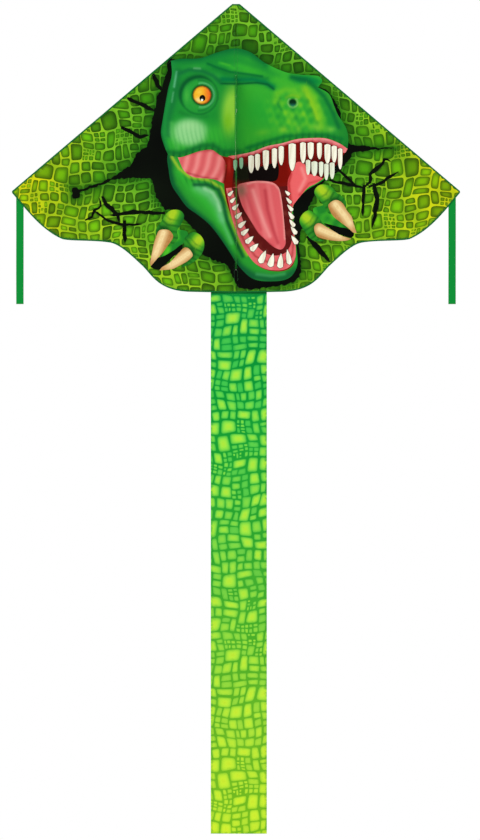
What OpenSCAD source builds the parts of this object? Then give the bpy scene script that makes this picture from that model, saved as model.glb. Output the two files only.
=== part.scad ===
// Single-line delta kite: a flat sail of two wing panels on a three-rod frame,
// with a keel that carries the tow eyelet, a long tail panel and two wing-tip streamers.
// X runs across the wings, Y from the front of the sail to its back, Z up.
// The origin is the centre of the tow eyelet, where the flying line is tied.
// Left and right are as seen from the front, with the keel towards the eye.

/* [Sail] */
// Wing tip to wing tip
wing_span = 1200; // [1160:5:1240]
// Nose to bottom edge
sail_height = 774; // [760:1:790]
// Depth of the wing tips below the nose
tip_drop = 501; // [494:1:506]
// Width of the blunt nose
nose_w = 20; // [16:1:24]
// Thickness of every layer of cloth
cloth = 0.4; // [0.3:0.05:0.45]
// Width of the hem along the trailing edge
hem_w = 8; // [6:1:10]

/* [Frame] */
// Radius of the fibreglass rods
rod_r = 2; // [1.5:0.1:2]
// Distance from the nose to the leading rod, along the leading edge
rod_start = 150; // [120:5:200]
// Distance from the nose to the cross rod's connector, along the leading edge
connector_at = 485; // [460:5:520]
// Length of sleeve left open round each connector
sleeve_gap = 60; // [44:2:80]
// Length of the bendable tube that joins the two cross rods
centre_tube_l = 70; // [60:2:90]
// Gap between the cross rods inside that tube
cross_gap = 33; // [33:1:44]

/* [Keel] */
// Distance from the sail to the centre of the tow eyelet
tow_reach = 150; // [120:5:180]
// Height of the nose above the tow eyelet
tow_drop = 300; // [270:5:330]
// Distance from the nose down to the keel's upper corner
keel_top = 190; // [150:5:220]
// Distance from the sail's bottom edge up to the keel's lower corner
keel_foot = 60; // [30:5:120]
// Radius of the keel's rounded point
keel_point_r = 18; // [16:1:24]
// Radius of the hole in the tow eyelet
eyelet_r = 4; // [3:0.5:4]

/* [Tail and streamers] */
// Width of the tail
tail_w = 150; // [120:5:170]
// Length of the tail below the sail
tail_l = 1449; // [900:1:1800]
// Distance of the tail's middle from the sail's middle
tail_offset = 7.5; // [0:0.5:10]
// Width of a streamer ribbon
streamer_w = 20; // [14:1:22]
// Distance of a streamer from the sail's middle
streamer_x = 579; // [575:1:581]
// Lowest point of the streamers below the nose
streamer_drop = 804; // [650:1:1200]

/* [Hidden] */
$fn = 64;

left = -1;
right = 1;
eps = 1;                       // how far a cutter runs past what it cuts
sail_front = -cloth / 2;
sail_back = cloth / 2;
seam_gap = 0.5;                // half the gap between the wing panels at the spine
hinge_gap = 0.8;               // cloth hinge line to the cloth on each side of it

// Spine, sleeves and caps
spine_y = 4;                   // the spine lies behind the sail, and the wings fold about it
spine_inset = 8;
bore_play = 0.05;
sleeve_r = rod_r + 0.3;
spine_sleeve_r = rod_r + 0.1;
cap_r = rod_r + 0.6;
cap_l = 12;
cap_wall = 2;
pocket_r = cap_r + 0.15;
pocket_l = 24;
web_reach = -0.5;

// Leading edge
half_span = wing_span / 2;
leading_a = atan2(tip_drop, half_span - nose_w / 2);
leading_l = norm([half_span - nose_w / 2, tip_drop]);
leading_y = 3;
leading_inset = 5;
flange_w = 10.5;
rod_end = leading_l - 10;
tip_pocket_l = 19;

// Cross rod and connectors
tube_wall = 1.45;
tie_r = rod_r + 1.55;
tie_wall = 0.55;
tie_w = 10;
tie_flap = 14;
cross_y = spine_y + spine_sleeve_r + 0.5 + tie_r + tie_wall;
cross_x = nose_w / 2 + connector_at * cos(leading_a) - leading_inset * sin(leading_a);
cross_z = -connector_at * sin(leading_a) - leading_inset * cos(leading_a);
clip_r = rod_r + 1.6;
clip_l = 16;
clip_foot = 0.5;
socket_r = rod_r + 1.4;
socket_l = 30;
socket_end = 4;
stop_l = 4;
stop_r = rod_r + 0.7;

// Streamers and tail
tab_y = sail_back + cloth + 0.1;
tab_top = -508;
tab_bottom = -545;
tab_gap = 0.4;
header_h = 22;
tail_hem_w = 6;
tail_top = -sail_height - 2 * hinge_gap;
tail_bottom = -sail_height - tail_l;
header_top = tail_top - 0.8;

// Keel, drawn with Y across and Z up
keel_hinge_y = -1;
keel_y = keel_hinge_y - 0.4;
keel_upper = [keel_y, -keel_top];
keel_lower = [keel_y, -sail_height + keel_foot];
tow = [-tow_reach, -tow_drop];
binding_w = 8;
patch_r = 40;
eyelet_wall = 0.6;
flange_r = 8;
flange_t = 0.8;
eyelet_half = 2;
roll_r = 5.4;

// The trailing edge from wing tip to tail: Bezier curves for a 1200 x 774 sail
curve_steps = 7;
trailing_curves = [
    [[600, -506], [560, -553], [521, -606], [465, -630]],
    [[465, -630], [440, -636], [385, -632], [339, -639]],
    [[339, -639], [310, -643], [275, -679], [249, -703]],
    [[249, -703], [223, -730], [205, -768], [126, -771]]
];
hem_start = 0.5;               // in steps of the first curve, clear of the tip pocket

function to_size(p) = [p[0] * wing_span / 1200, p[1] * sail_height / 774];
function bezier(c, t) =
    pow(1 - t, 3) * c[0] + 3 * t * pow(1 - t, 2) * c[1] + 3 * t * t * (1 - t) * c[2] + pow(t, 3) * c[3];
function bezier_slope(c, t) =
    pow(1 - t, 2) * (c[1] - c[0]) + 2 * t * (1 - t) * (c[2] - c[1]) + t * t * (c[3] - c[2]);
function curve_of(k) = trailing_curves[min(floor(k / curve_steps), len(trailing_curves) - 1)];
function part_of(k) = k / curve_steps - min(floor(k / curve_steps), len(trailing_curves) - 1);
function edge_point(k) = to_size(bezier(curve_of(k), part_of(k)));
function inward(d) = [d[1], -d[0]] / norm(d);
function hem_point(k) = edge_point(k) + hem_w * inward(bezier_slope(curve_of(k), part_of(k)));
steps = curve_steps * len(trailing_curves);

function on_circle(centre, r, a) = centre + r * [cos(a), sin(a)];
// The angle at which a line from p touches a circle, turn is 1 or -1 for its side
function touch_angle(p, centre, r, turn) =
    atan2(p[1] - centre[1], p[0] - centre[0]) + turn * acos(r / norm(p - centre));
upper_a = touch_angle(keel_upper, tow, keel_point_r, 1);
lower_a = 360 + touch_angle(keel_lower, tow, keel_point_r, -1);
point_steps = 12;
function keel_outline(inset) = concat(
    [keel_upper - inset * on_circle([0, 0], 1, upper_a)],
    [for (i = [0:point_steps])
        on_circle(tow, keel_point_r - inset, upper_a + (lower_a - upper_a) * i / point_steps)],
    [keel_lower - inset * on_circle([0, 0], 1, lower_a)]
);

// Places the kite, drawn with its nose at the origin, round the tow eyelet
module in_place() {
    translate([0, tow_reach, tow_drop]) children();
}

module on_side(side) {
    in_place() mirror([side < 0 ? 1 : 0, 0, 0]) children();
}

// Cloth cut to an outline in X and Z, with its front face at y
module cloth_at(y) {
    translate([0, y + cloth, 0]) rotate([90, 0, 0]) linear_extrude(cloth) children();
}

// Z runs down the leading edge from the nose, X inwards from the edge, Y to the back
module on_leading(s) {
    translate([nose_w / 2 + s * cos(leading_a), 0, -s * sin(leading_a)])
        rotate([0, 90 + leading_a, 0]) children();
}

module on_leading_rod(s) {
    on_leading(s) translate([leading_inset, leading_y, 0]) children();
}

module rod(length) {
    color("dimgray") cylinder(r = rod_r, h = length);
}

// A soft cap, open towards +Z
module end_cap() {
    color("black") difference() {
        cylinder(r = cap_r, h = cap_l);
        translate([0, 0, cap_wall]) cylinder(r = rod_r + bore_play, h = cap_l);
    }
}

module turned_cap() {
    mirror([0, 0, 1]) end_cap();
}

module spine_rod() {
    in_place() translate([0, spine_y, -sail_height + spine_inset]) rod(sail_height - 2 * spine_inset);
}

module spine_cap_top() {
    in_place() translate([0, spine_y, -spine_inset + cap_wall]) turned_cap();
}

module spine_cap_bottom() {
    in_place() translate([0, spine_y, -sail_height + spine_inset - cap_wall]) end_cap();
}

module spine_sleeve() {
    sleeve_top = -pocket_l - 2;
    sleeve_bottom = -sail_height + pocket_l + 2;
    color("darkgreen") in_place() translate([0, 0, sleeve_bottom])
        linear_extrude(sleeve_top - sleeve_bottom) difference() {
            union() {
                translate([0, spine_y]) circle(r = spine_sleeve_r + 0.5);
                translate([-cloth / 2, web_reach]) square([cloth, spine_y - web_reach]);
            }
            translate([0, spine_y]) circle(r = spine_sleeve_r);
        }
}

// A cloth pouch that holds one end of the spine, closed at its lower end
module spine_pocket() {
    color("darkgreen") {
        linear_extrude(pocket_l) difference() {
            union() {
                translate([0, spine_y]) circle(r = pocket_r + cloth);
                translate([-cloth / 2, web_reach]) square([cloth, spine_y - web_reach]);
            }
            translate([0, spine_y]) circle(r = pocket_r);
        }
        translate([0, spine_y, 0]) cylinder(r = pocket_r + cloth, h = cap_wall);
    }
}

module nose_pocket() {
    in_place() translate([0, 0, -1]) mirror([0, 0, 1]) spine_pocket();
}

module foot_pocket() {
    in_place() translate([0, 0, -sail_height + 1]) spine_pocket();
}

module centre_tube() {
    color("black") in_place() translate([-centre_tube_l / 2, cross_y, cross_z]) rotate([0, 90, 0])
        difference() {
            cylinder(r = rod_r + bore_play + tube_wall, h = centre_tube_l);
            translate([0, 0, -eps]) cylinder(r = rod_r + bore_play, h = centre_tube_l + 2 * eps);
        }
}

module centre_tie() {
    color("darkgreen") in_place() difference() {
        union() {
            translate([-tie_w / 2, cross_y, cross_z]) rotate([0, 90, 0])
                cylinder(r = tie_r + tie_wall, h = tie_w);
            translate([-tie_w / 2, cross_y - tie_r - tie_wall, cross_z - tie_flap])
                cube([tie_w, cloth, 2 * tie_flap]);
        }
        translate([-tie_w, cross_y, cross_z]) rotate([0, 90, 0]) cylinder(r = tie_r, h = 2 * tie_w);
    }
}

module sail(side) {
    outline = concat(
        [[seam_gap, 0], [nose_w / 2, 0], [half_span, -tip_drop]],
        [for (k = [0:steps]) edge_point(k)],
        [[seam_gap, -sail_height]]
    );
    color("yellowgreen") on_side(side) cloth_at(sail_front) polygon(outline);
}

module nose_hem(side) {
    color("darkgreen") on_side(side) on_leading(2) translate([0, sail_back, 0])
        cube([flange_w, cloth, rod_start - 4]);
}

module trailing_hem(side) {
    outline = concat(
        [edge_point(hem_start)],
        [for (k = [1:steps]) edge_point(k)],
        [[seam_gap, -sail_height], [seam_gap, -sail_height + hem_w]],
        [for (k = [steps:-1:1]) hem_point(k)],
        [hem_point(hem_start)]
    );
    color("darkgreen") on_side(side) cloth_at(sail_back) polygon(outline);
}

// Section of cloth folded over a rod and sewn down beside it
module tunnel_section(r) {
    difference() {
        union() {
            translate([leading_inset, leading_y]) circle(r = r + cloth);
            translate([leading_inset - r - cloth, sail_back]) square([2 * (r + cloth), leading_y - sail_back]);
            translate([0, sail_back]) square([flange_w, cloth]);
        }
        translate([leading_inset, leading_y]) circle(r = r);
        translate([leading_inset - r, sail_back - eps]) square([2 * r, leading_y - sail_back + eps]);
    }
}

module sleeve(side, from, to) {
    color("darkgreen") on_side(side) on_leading(from) linear_extrude(to - from) tunnel_section(sleeve_r);
}

module sleeve_upper(side) {
    sleeve(side, rod_start + cap_l, connector_at - sleeve_gap / 2);
}

module sleeve_lower(side) {
    sleeve(side, connector_at + sleeve_gap / 2, leading_l - tip_pocket_l - 7);
}

module tip_pocket(side) {
    color("black") on_side(side) on_leading(leading_l - tip_pocket_l - 5) {
        linear_extrude(tip_pocket_l) tunnel_section(pocket_r);
        translate([leading_inset - pocket_r - cloth, sail_back, tip_pocket_l])
            cube([2 * (pocket_r + cloth), leading_y + pocket_r - sail_back, cloth]);
    }
}

module leading_rod(side) {
    on_side(side) on_leading_rod(rod_start) rod(rod_end - rod_start);
}

module leading_cap_upper(side) {
    on_side(side) on_leading_rod(rod_start - cap_wall) end_cap();
}

module leading_cap_lower(side) {
    on_side(side) on_leading_rod(rod_end + cap_wall) turned_cap();
}

module connector(side) {
    color("black") on_side(side) difference() {
        union() {
            on_leading_rod(connector_at - clip_l / 2) cylinder(r = clip_r, h = clip_l);
            translate([cross_x, leading_y, cross_z]) rotate([-90, 0, 0])
                cylinder(r = clip_r, h = cross_y - leading_y);
            translate([cross_x - socket_l, cross_y, cross_z]) rotate([0, 90, 0])
                cylinder(r = socket_r, h = socket_l);
            translate([cross_x, cross_y, cross_z]) sphere(r = clip_r);
        }
        on_leading_rod(connector_at - clip_l) cylinder(r = rod_r + bore_play, h = 2 * clip_l);
        translate([cross_x - socket_l - eps, cross_y, cross_z]) rotate([0, 90, 0])
            cylinder(r = rod_r + bore_play, h = socket_l + eps - socket_end);
        translate([cross_x - clip_l, clip_foot - clip_l, cross_z - clip_l])
            cube([2 * clip_l, clip_l, 2 * clip_l]);
    }
}

// Two rings on the leading rod keep the connector where it is
module connector_stops(side) {
    reach = clip_l / 2 + 1;
    color("black") on_side(side) for (s = [connector_at - reach - stop_l, connector_at + reach])
        on_leading_rod(s) difference() {
            cylinder(r = stop_r, h = stop_l);
            translate([0, 0, -eps]) cylinder(r = rod_r + bore_play, h = stop_l + 2 * eps);
        }
}

module cross_rod(side) {
    on_side(side) translate([cross_gap / 2, cross_y, cross_z]) rotate([0, 90, 0])
        rod(cross_x - socket_end - cross_gap / 2);
}

module ribbon(side, top, bottom) {
    color("seagreen") on_side(side) cloth_at(tab_y)
        translate([streamer_x - streamer_w / 2, bottom]) square([streamer_w, top - bottom]);
}

module streamer_tab(side) {
    ribbon(side, tab_top, tab_bottom);
}

module streamer(side) {
    ribbon(side, tab_bottom - 2 * tab_gap, -streamer_drop);
}

// Keel cloth: an outline in Y and Z, from x to x + t
module keel_cloth(x, t) {
    in_place() translate([x, 0, 0]) rotate([90, 0, 90]) linear_extrude(t) children();
}

module tow_hole() {
    translate(tow) circle(r = eyelet_r + eyelet_wall + 0.1);
}

module keel_panel() {
    color("whitesmoke") keel_cloth(-cloth / 2, cloth) difference() {
        polygon(keel_outline(0));
        tow_hole();
    }
}

// Tape folded over the keel's two free edges
module keel_binding() {
    color("darkgreen") for (x = [-1.5 * cloth, cloth / 2]) keel_cloth(x, cloth)
        intersection() {
            difference() {
                polygon(keel_outline(0));
                polygon(keel_outline(binding_w));
            }
            translate([-2 * tow_reach, -sail_height]) square([2 * tow_reach - 4, sail_height]);
        }
}

module tow_patch(x) {
    color("darkgreen") keel_cloth(x, cloth) difference() {
        intersection() {
            polygon(keel_outline(binding_w + 0.2));
            translate(tow) circle(r = patch_r);
        }
        tow_hole();
    }
}

module tow_patch_left() { tow_patch(-1.5 * cloth); }

module tow_patch_right() { tow_patch(cloth / 2); }

// The eyelet's barrel and its flange on the left, rolled over the washer on the right
module tow_eyelet() {
    stack = 1.5 * cloth;
    color("silver") rotate([0, 90, 0]) rotate_extrude() polygon(concat(
        [[eyelet_r, -eyelet_half], [flange_r - 1.5, -stack - flange_t], [flange_r - 0.3, -stack - 0.5]],
        [[flange_r, -stack], [eyelet_r + eyelet_wall, -stack], [eyelet_r + eyelet_wall, stack + 0.6]],
        [for (a = [-90:15:90]) [roll_r - 0.4, stack + 1] + 0.4 * [cos(a), sin(a)]],
        [[eyelet_r, eyelet_half]]
    ));
}

module tow_washer() {
    stack = 1.5 * cloth;
    color("silver") translate([stack, 0, 0]) rotate([0, 90, 0]) difference() {
        cylinder(r = flange_r, h = 0.6);
        translate([0, 0, -eps]) cylinder(r = eyelet_r + eyelet_wall + bore_play, h = 1 + 2 * eps);
    }
}

// A piece of the tail: x0 and x1 from its middle, z0 and z1 below the nose
module tail_cloth(y, x0, x1, z0, z1) {
    in_place() cloth_at(y) translate([tail_offset + x0, z0]) square([x1 - x0, z1 - z0]);
}

module tail_panel() {
    color("greenyellow") tail_cloth(sail_front, -tail_w / 2, tail_w / 2, tail_bottom, tail_top);
}

module tail_header() {
    color("darkgreen") tail_cloth(sail_back, -tail_w / 2, tail_w / 2, header_top - header_h, header_top);
}

module tail_hem(x0) {
    color("limegreen") tail_cloth(sail_back, x0, x0 + tail_hem_w,
        tail_bottom + tail_hem_w + 0.2, header_top - header_h - 0.2);
}

module tail_hem_left() { tail_hem(-tail_w / 2); }

module tail_hem_right() { tail_hem(tail_w / 2 - tail_hem_w); }

module tail_foot_hem() {
    color("limegreen") tail_cloth(sail_back, -tail_w / 2, tail_w / 2, tail_bottom, tail_bottom + tail_hem_w);
}

spine_rod();
spine_cap_top();
spine_cap_bottom();
spine_sleeve();
nose_pocket();
foot_pocket();
centre_tube();
centre_tie();
sail(left);  // left_sail
nose_hem(left);  // left_nose_hem
sleeve_upper(left);  // left_sleeve_upper
sleeve_lower(left);  // left_sleeve_lower
trailing_hem(left);  // left_trailing_hem
leading_rod(left);  // left_leading_rod
leading_cap_upper(left);  // left_leading_cap_upper
leading_cap_lower(left);  // left_leading_cap_lower
tip_pocket(left);  // left_tip_pocket
connector(left);  // left_connector
connector_stops(left);  // left_connector_stops
cross_rod(left);  // left_cross_rod
streamer_tab(left);  // left_streamer_tab
streamer(left);  // left_streamer
sail(right);  // right_sail
nose_hem(right);  // right_nose_hem
sleeve_upper(right);  // right_sleeve_upper
sleeve_lower(right);  // right_sleeve_lower
trailing_hem(right);  // right_trailing_hem
leading_rod(right);  // right_leading_rod
leading_cap_upper(right);  // right_leading_cap_upper
leading_cap_lower(right);  // right_leading_cap_lower
tip_pocket(right);  // right_tip_pocket
connector(right);  // right_connector
connector_stops(right);  // right_connector_stops
cross_rod(right);  // right_cross_rod
streamer_tab(right);  // right_streamer_tab
streamer(right);  // right_streamer
keel_panel();
keel_binding();
tow_patch_left();
tow_patch_right();
tow_eyelet();
tow_washer();
tail_panel();
tail_header();
tail_hem_left();
tail_hem_right();
tail_foot_hem();
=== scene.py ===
"""A printed delta kite with a long tail: cloth, print, stitching, rods and fittings."""

import math
import random

import bpy
import numpy as np
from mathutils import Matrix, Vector
from mathutils.geometry import delaunay_2d_cdt
from mathutils.kdtree import KDTree


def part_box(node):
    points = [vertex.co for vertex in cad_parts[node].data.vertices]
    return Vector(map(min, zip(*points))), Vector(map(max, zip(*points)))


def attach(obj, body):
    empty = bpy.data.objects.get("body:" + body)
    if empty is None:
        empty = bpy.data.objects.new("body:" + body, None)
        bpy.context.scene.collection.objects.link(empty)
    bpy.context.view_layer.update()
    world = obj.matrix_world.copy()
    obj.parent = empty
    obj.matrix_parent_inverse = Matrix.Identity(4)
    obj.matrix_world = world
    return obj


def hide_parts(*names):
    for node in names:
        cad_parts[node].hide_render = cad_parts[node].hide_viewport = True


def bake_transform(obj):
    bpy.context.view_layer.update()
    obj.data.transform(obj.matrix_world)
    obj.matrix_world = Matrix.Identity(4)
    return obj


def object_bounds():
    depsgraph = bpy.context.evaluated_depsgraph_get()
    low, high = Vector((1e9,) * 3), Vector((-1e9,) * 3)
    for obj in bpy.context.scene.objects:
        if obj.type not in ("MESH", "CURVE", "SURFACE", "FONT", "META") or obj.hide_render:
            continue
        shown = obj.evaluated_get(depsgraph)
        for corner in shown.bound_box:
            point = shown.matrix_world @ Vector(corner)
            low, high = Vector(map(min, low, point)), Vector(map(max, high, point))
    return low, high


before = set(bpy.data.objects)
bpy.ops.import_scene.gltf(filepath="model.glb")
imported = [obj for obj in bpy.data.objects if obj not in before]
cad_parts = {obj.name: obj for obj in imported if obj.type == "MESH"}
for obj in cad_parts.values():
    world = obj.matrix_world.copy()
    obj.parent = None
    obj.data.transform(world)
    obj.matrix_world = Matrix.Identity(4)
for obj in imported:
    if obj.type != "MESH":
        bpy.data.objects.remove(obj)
CAD_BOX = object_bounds()

SIDE_NAMES = {1: "right", -1: "left"}

# Lengths in the drawings are millimetres: x across, d down from the nose, y behind the sail.
MM = 0.001
SAIL_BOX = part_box("left_sail")
SAIL_Y = (SAIL_BOX[0].y + SAIL_BOX[1].y) / 2
NOSE_Z = SAIL_BOX[1].z
CLOTH = 0.4
BORDER = 4.0
HEM = 8.0
# How far behind the sail's middle a second layer of cloth lies.
BEHIND = 0.42

# Half of the sail's outline, from the nose to the tail corner.
NOSE_HALF = 10
TIP = (600, 501)
# A step along the leading edge goes this far outwards and this far down.
LEAD_LENGTH = math.hypot(TIP[0] - NOSE_HALF, TIP[1])
LEAD_RUN = (TIP[0] - NOSE_HALF) / LEAD_LENGTH
LEAD_DROP = TIP[1] / LEAD_LENGTH
# Where a cross rod meets the leading rod.
CONNECTOR = (376, 318)
FOOT = 774
TRAILING = (
    ((600, 506), (560, 553), (521, 606), (465, 630)),
    ((465, 630), (440, 636), (385, 632), (339, 639)),
    ((339, 639), (310, 643), (275, 679), (249, 703)),
    ((249, 703), (223, 730), (205, 768), (126, 771)),
)


# ---------------------------------------------------------------- points and curves


def on_sail(u, v, lift):
    """Points of the sail: u across, v down from the nose, lift backwards, in mm."""
    return np.stack([u * MM, SAIL_Y + lift * MM, NOSE_Z - v * MM], axis=-1)


def on_keel(u, v, lift):
    """Points of the keel: u forward of the sail, v down from the nose, lift sideways."""
    return np.stack([lift * MM, SAIL_Y - u * MM, NOSE_Z - v * MM], axis=-1)


def curve(points, step=4.0, closed=True):
    """A dense smooth line through points; a third value marks a sharp corner."""
    pts = [np.array(p[:2], float) for p in points]
    sharp = [len(p) > 2 for p in points]
    n = len(pts)
    out = []
    for i in range(n if closed else n - 1):
        j = (i + 1) % n
        a, b = pts[i], pts[j]
        chord = b - a
        length = np.linalg.norm(chord)
        first = sharp[i] or (not closed and i == 0)
        last = sharp[j] or (not closed and i == n - 2)
        leave = chord if first else (b - pts[i - 1]) / 2
        arrive = chord if last else (pts[(i + 2) % n] - a) / 2
        leave = leave * min(1, length / (np.linalg.norm(leave) + 1e-9))
        arrive = arrive * min(1, length / (np.linalg.norm(arrive) + 1e-9))
        count = max(1, round(length / step))
        for k in range(count):
            t = k / count
            out.append(
                (2 * t**3 - 3 * t**2 + 1) * a
                + (t**3 - 2 * t**2 + t) * leave
                + (3 * t**2 - 2 * t**3) * b
                + (t**3 - t**2) * arrive
            )
    if not closed:
        out.append(pts[-1])
    return np.array(out)


def bezier(a, b, c, d, count=24):
    """Points of one cubic curve, without its last point."""
    t = (np.arange(count) / count)[:, None]
    a, b, c, d = (np.array(p, float) for p in (a, b, c, d))
    return a * (1 - t) ** 3 + 3 * b * t * (1 - t) ** 2 + 3 * c * t**2 * (1 - t) + d * t**3


def arc(centre, radius, angles):
    """Points of a circle at the angles."""
    return np.stack([centre[0] + radius * np.cos(angles), centre[1] + radius * np.sin(angles)], axis=-1)


def ellipse(centre, rx, rd, count=28):
    """A closed ellipse."""
    return arc((0, 0), 1, np.arange(count) * 2 * math.pi / count) * (rx, rd) + centre


def straight_line(a, b, count):
    """Evenly spaced points from a to b."""
    return np.linspace(np.array(a, float), np.array(b, float), count)


def run_along(line):
    """The length along a line up to each of its points."""
    return np.r_[0, np.cumsum(np.linalg.norm(np.diff(line, axis=0), axis=1))]


def points_at(line, run, at):
    """The points of a line where its length reaches at."""
    return np.stack([np.interp(at, run, line[:, k]) for k in range(line.shape[1])], axis=-1)


def resample(line, step):
    """The line again, with points at even spacing close to step."""
    line = np.asarray(line, float)
    run = run_along(line)
    return points_at(line, run, np.linspace(0, run[-1], max(2, round(run[-1] / step) + 1)))


def normals_2d(line):
    """The unit normal at each point of an open line, to the left of its direction."""
    along = np.gradient(np.asarray(line, float), axis=0)
    along /= np.linalg.norm(along, axis=1)[:, None] + 1e-9
    return np.stack([along[:, 1], -along[:, 0]], axis=-1)


def signed_area(loop):
    """Twice the area of a closed loop, negative where it runs the other way round."""
    x, y = loop[:, 0], loop[:, 1]
    return float(np.sum(x * np.roll(y, -1) - np.roll(x, -1) * y))


def inset(loop, distance):
    """A closed loop moved inwards."""
    loop = np.asarray(loop, float)
    before = loop - np.roll(loop, 1, axis=0)
    after = np.roll(loop, -1, axis=0) - loop
    before /= np.linalg.norm(before, axis=1)[:, None]
    after /= np.linalg.norm(after, axis=1)[:, None]
    n1 = np.stack([-before[:, 1], before[:, 0]], axis=-1)
    n2 = np.stack([-after[:, 1], after[:, 0]], axis=-1)
    mitre = n1 + n2
    mitre /= np.maximum(np.sum(mitre * n1, axis=1), 0.25)[:, None]
    return loop + mitre * distance * (1 if signed_area(loop) > 0 else -1)


def to_line(p, line):
    """The distance from each point to a line of points."""
    best = np.full(len(p), 1e9)
    for a, b in zip(line[:-1], line[1:]):
        a, b = np.array(a[:2], float), np.array(b[:2], float)
        ab = b - a
        t = np.clip((p - a) @ ab / (ab @ ab + 1e-9), 0, 1)
        best = np.minimum(best, np.linalg.norm(p - a - t[:, None] * ab, axis=1))
    return best


# ---------------------------------------------------------------- colours and painting


def rgb(*values):
    """A screen colour from 0 to 1, from values out of 255."""
    return np.array(values, float) / 255


def even(p, *values):
    """One colour at every point."""
    return np.tile(rgb(*values), (len(p), 1))


def linear(colour):
    """Linear light from screen colour."""
    colour = np.clip(colour, 0, 1)
    return np.where(colour < 0.04045, colour / 12.92, ((colour + 0.055) / 1.055) ** 2.4)


def mix(a, b, t):
    """From colour a at t = 0 to colour b at t = 1."""
    t = np.clip(t, 0, 1)
    t = t[:, None] if np.ndim(t) else t
    return a + (b - a) * t


def ramp(t, stops):
    """Colour along stops of (place, colour)."""
    at = [s[0] for s in stops]
    return np.stack([np.interp(t, at, [s[1][k] for s in stops]) for k in range(3)], axis=-1)


def spot(p, centre, size, turn=0, hard=2):
    """1 at the centre of a soft ellipse, fading to 0 outside it; hard makes its edge steeper."""
    c, s = math.cos(math.radians(turn)), math.sin(math.radians(turn))
    q = p - np.array(centre, float)
    u = (q[:, 0] * c + q[:, 1] * s) / size[0]
    v = (-q[:, 0] * s + q[:, 1] * c) / size[1]
    return np.exp(-2 * (u * u + v * v) ** (hard / 2))


def halo(away, radius, width):
    """1 on a soft ring, from the distance to its middle."""
    return np.exp(-2 * ((away - radius) / width) ** 2)


def airbrush(p, colour, touches):
    """Soft touches over a base: (rgb, strength, centre, size, turn, hard) or (rgb, strength, line, width)."""
    for touch in touches:
        tint, strength = rgb(*touch[0]), touch[1]
        if isinstance(touch[2], list):
            mask = halo(to_line(p, touch[2]), 0, touch[3])
        else:
            mask = spot(p, *touch[2:])
        colour = mix(colour, tint, mask * strength)
    return colour


def ripple(p, scale, seed):
    """Smooth noise from -1 to 1 made of a few crossed waves."""
    x, d = p[:, 0] / scale, p[:, 1] / scale
    total = np.zeros(len(p))
    for k in range(4):
        turn = seed * 1.7 + k * 2.1
        f = 1 + 0.55 * k
        total += np.sin(f * (x * math.cos(turn) + d * math.sin(turn)) + seed * 3.1 + k) / f
    return total / 2.2


# ---------------------------------------------------------------- scales of the print


# Blocks under this width are drawn as small scales, and a cluster is made of blocks of these limits.
SMALL_BLOCK = 18
CLUSTER_LIMITS = (14, 19)


def blocks(rng, x0, d0, x1, d1, low, high, out, clusters=0.13):
    """Splits a rectangle into uneven blocks; some split again into clusters of small ones."""
    w, h = x1 - x0, d1 - d0
    limit = rng.uniform(low, high)
    if w <= limit and h <= limit:
        if min(w, h) > 22 and rng.random() < clusters:
            blocks(rng, x0, d0, x1, d1, *CLUSTER_LIMITS, out, 0)
        elif min(w, h) > 7:
            out.append((x0, d0, x1, d1))
        return
    cut = rng.uniform(0.38, 0.62)
    if w * rng.uniform(0.8, 1.25) > h:
        blocks(rng, x0, d0, x0 + w * cut, d1, low, high, out, clusters)
        blocks(rng, x0 + w * cut, d0, x1, d1, low, high, out, clusters)
    else:
        blocks(rng, x0, d0, x1, d0 + h * cut, low, high, out, clusters)
        blocks(rng, x0, d0 + h * cut, x1, d1, low, high, out, clusters)


def warp(p):
    """Bends the straight rows of blocks, as hide has no straight rows."""
    x, d = p[:, 0], p[:, 1]
    dx = 6 * np.sin(d / 61 + 0.6) + 3.6 * np.sin(d / 21 + x / 41)
    dd = 6 * np.sin(x / 61 + 1.9) + 3.6 * np.sin(x / 23 - d / 47)
    return np.stack([x + dx, d + dd], axis=-1)


def cell(rng, block, line_w):
    """A rounded block: its outline, its inner points and how deep each lies."""
    x0, d0, x1, d1 = block
    small = min(x1 - x0, d1 - d0) < SMALL_BLOCK
    half = line_w * rng.uniform(0.7, 1.25) / (2.8 if small else 2)
    corners = np.array([(x0, d0), (x1, d0), (x1, d1), (x0, d1)], float)
    middle = corners.mean(0)
    corners += np.sign(middle - corners) * half
    uneven = 0.8 if small else 2.1
    corners += [[rng.uniform(-uneven, uneven) for _ in "xd"] for _ in corners]
    square = rng.uniform(3.6, 6)

    def loop(scale, count, power):
        """A rounded square of the given power, fitted between the corners."""
        angle = np.arange(count) * 2 * math.pi / count + 0.2
        c, s = np.cos(angle), np.sin(angle)
        u = np.sign(c) * np.abs(c) ** (2 / power) * scale
        v = np.sign(s) * np.abs(s) ** (2 / power) * scale
        shares = [(1 - u) * (1 - v), (1 + u) * (1 - v), (1 + u) * (1 + v), (1 - u) * (1 + v)]
        return (np.stack(shares, axis=-1) @ corners) / 4

    outline = warp(loop(1, 12 if small else 20, square))
    inner = [(0.62, 6, 3)] if small else [(0.74, 12, 4), (0.42, 8, 3)]
    rings = [loop(*ring) for ring in inner + [(0, 1, 2)]]
    depth = np.concatenate([np.full(len(r), (k + 1) / len(rings)) for k, r in enumerate(rings)])
    return outline, warp(np.concatenate(rings)), depth


class Shape:
    """One closed area of a print: its outline, its painter if it has one, and its own tint."""

    def __init__(self, outline, painter=None, tint=0.0):
        self.outline = np.asarray(outline, float)
        self.painter = painter
        self.tint = tint


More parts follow.
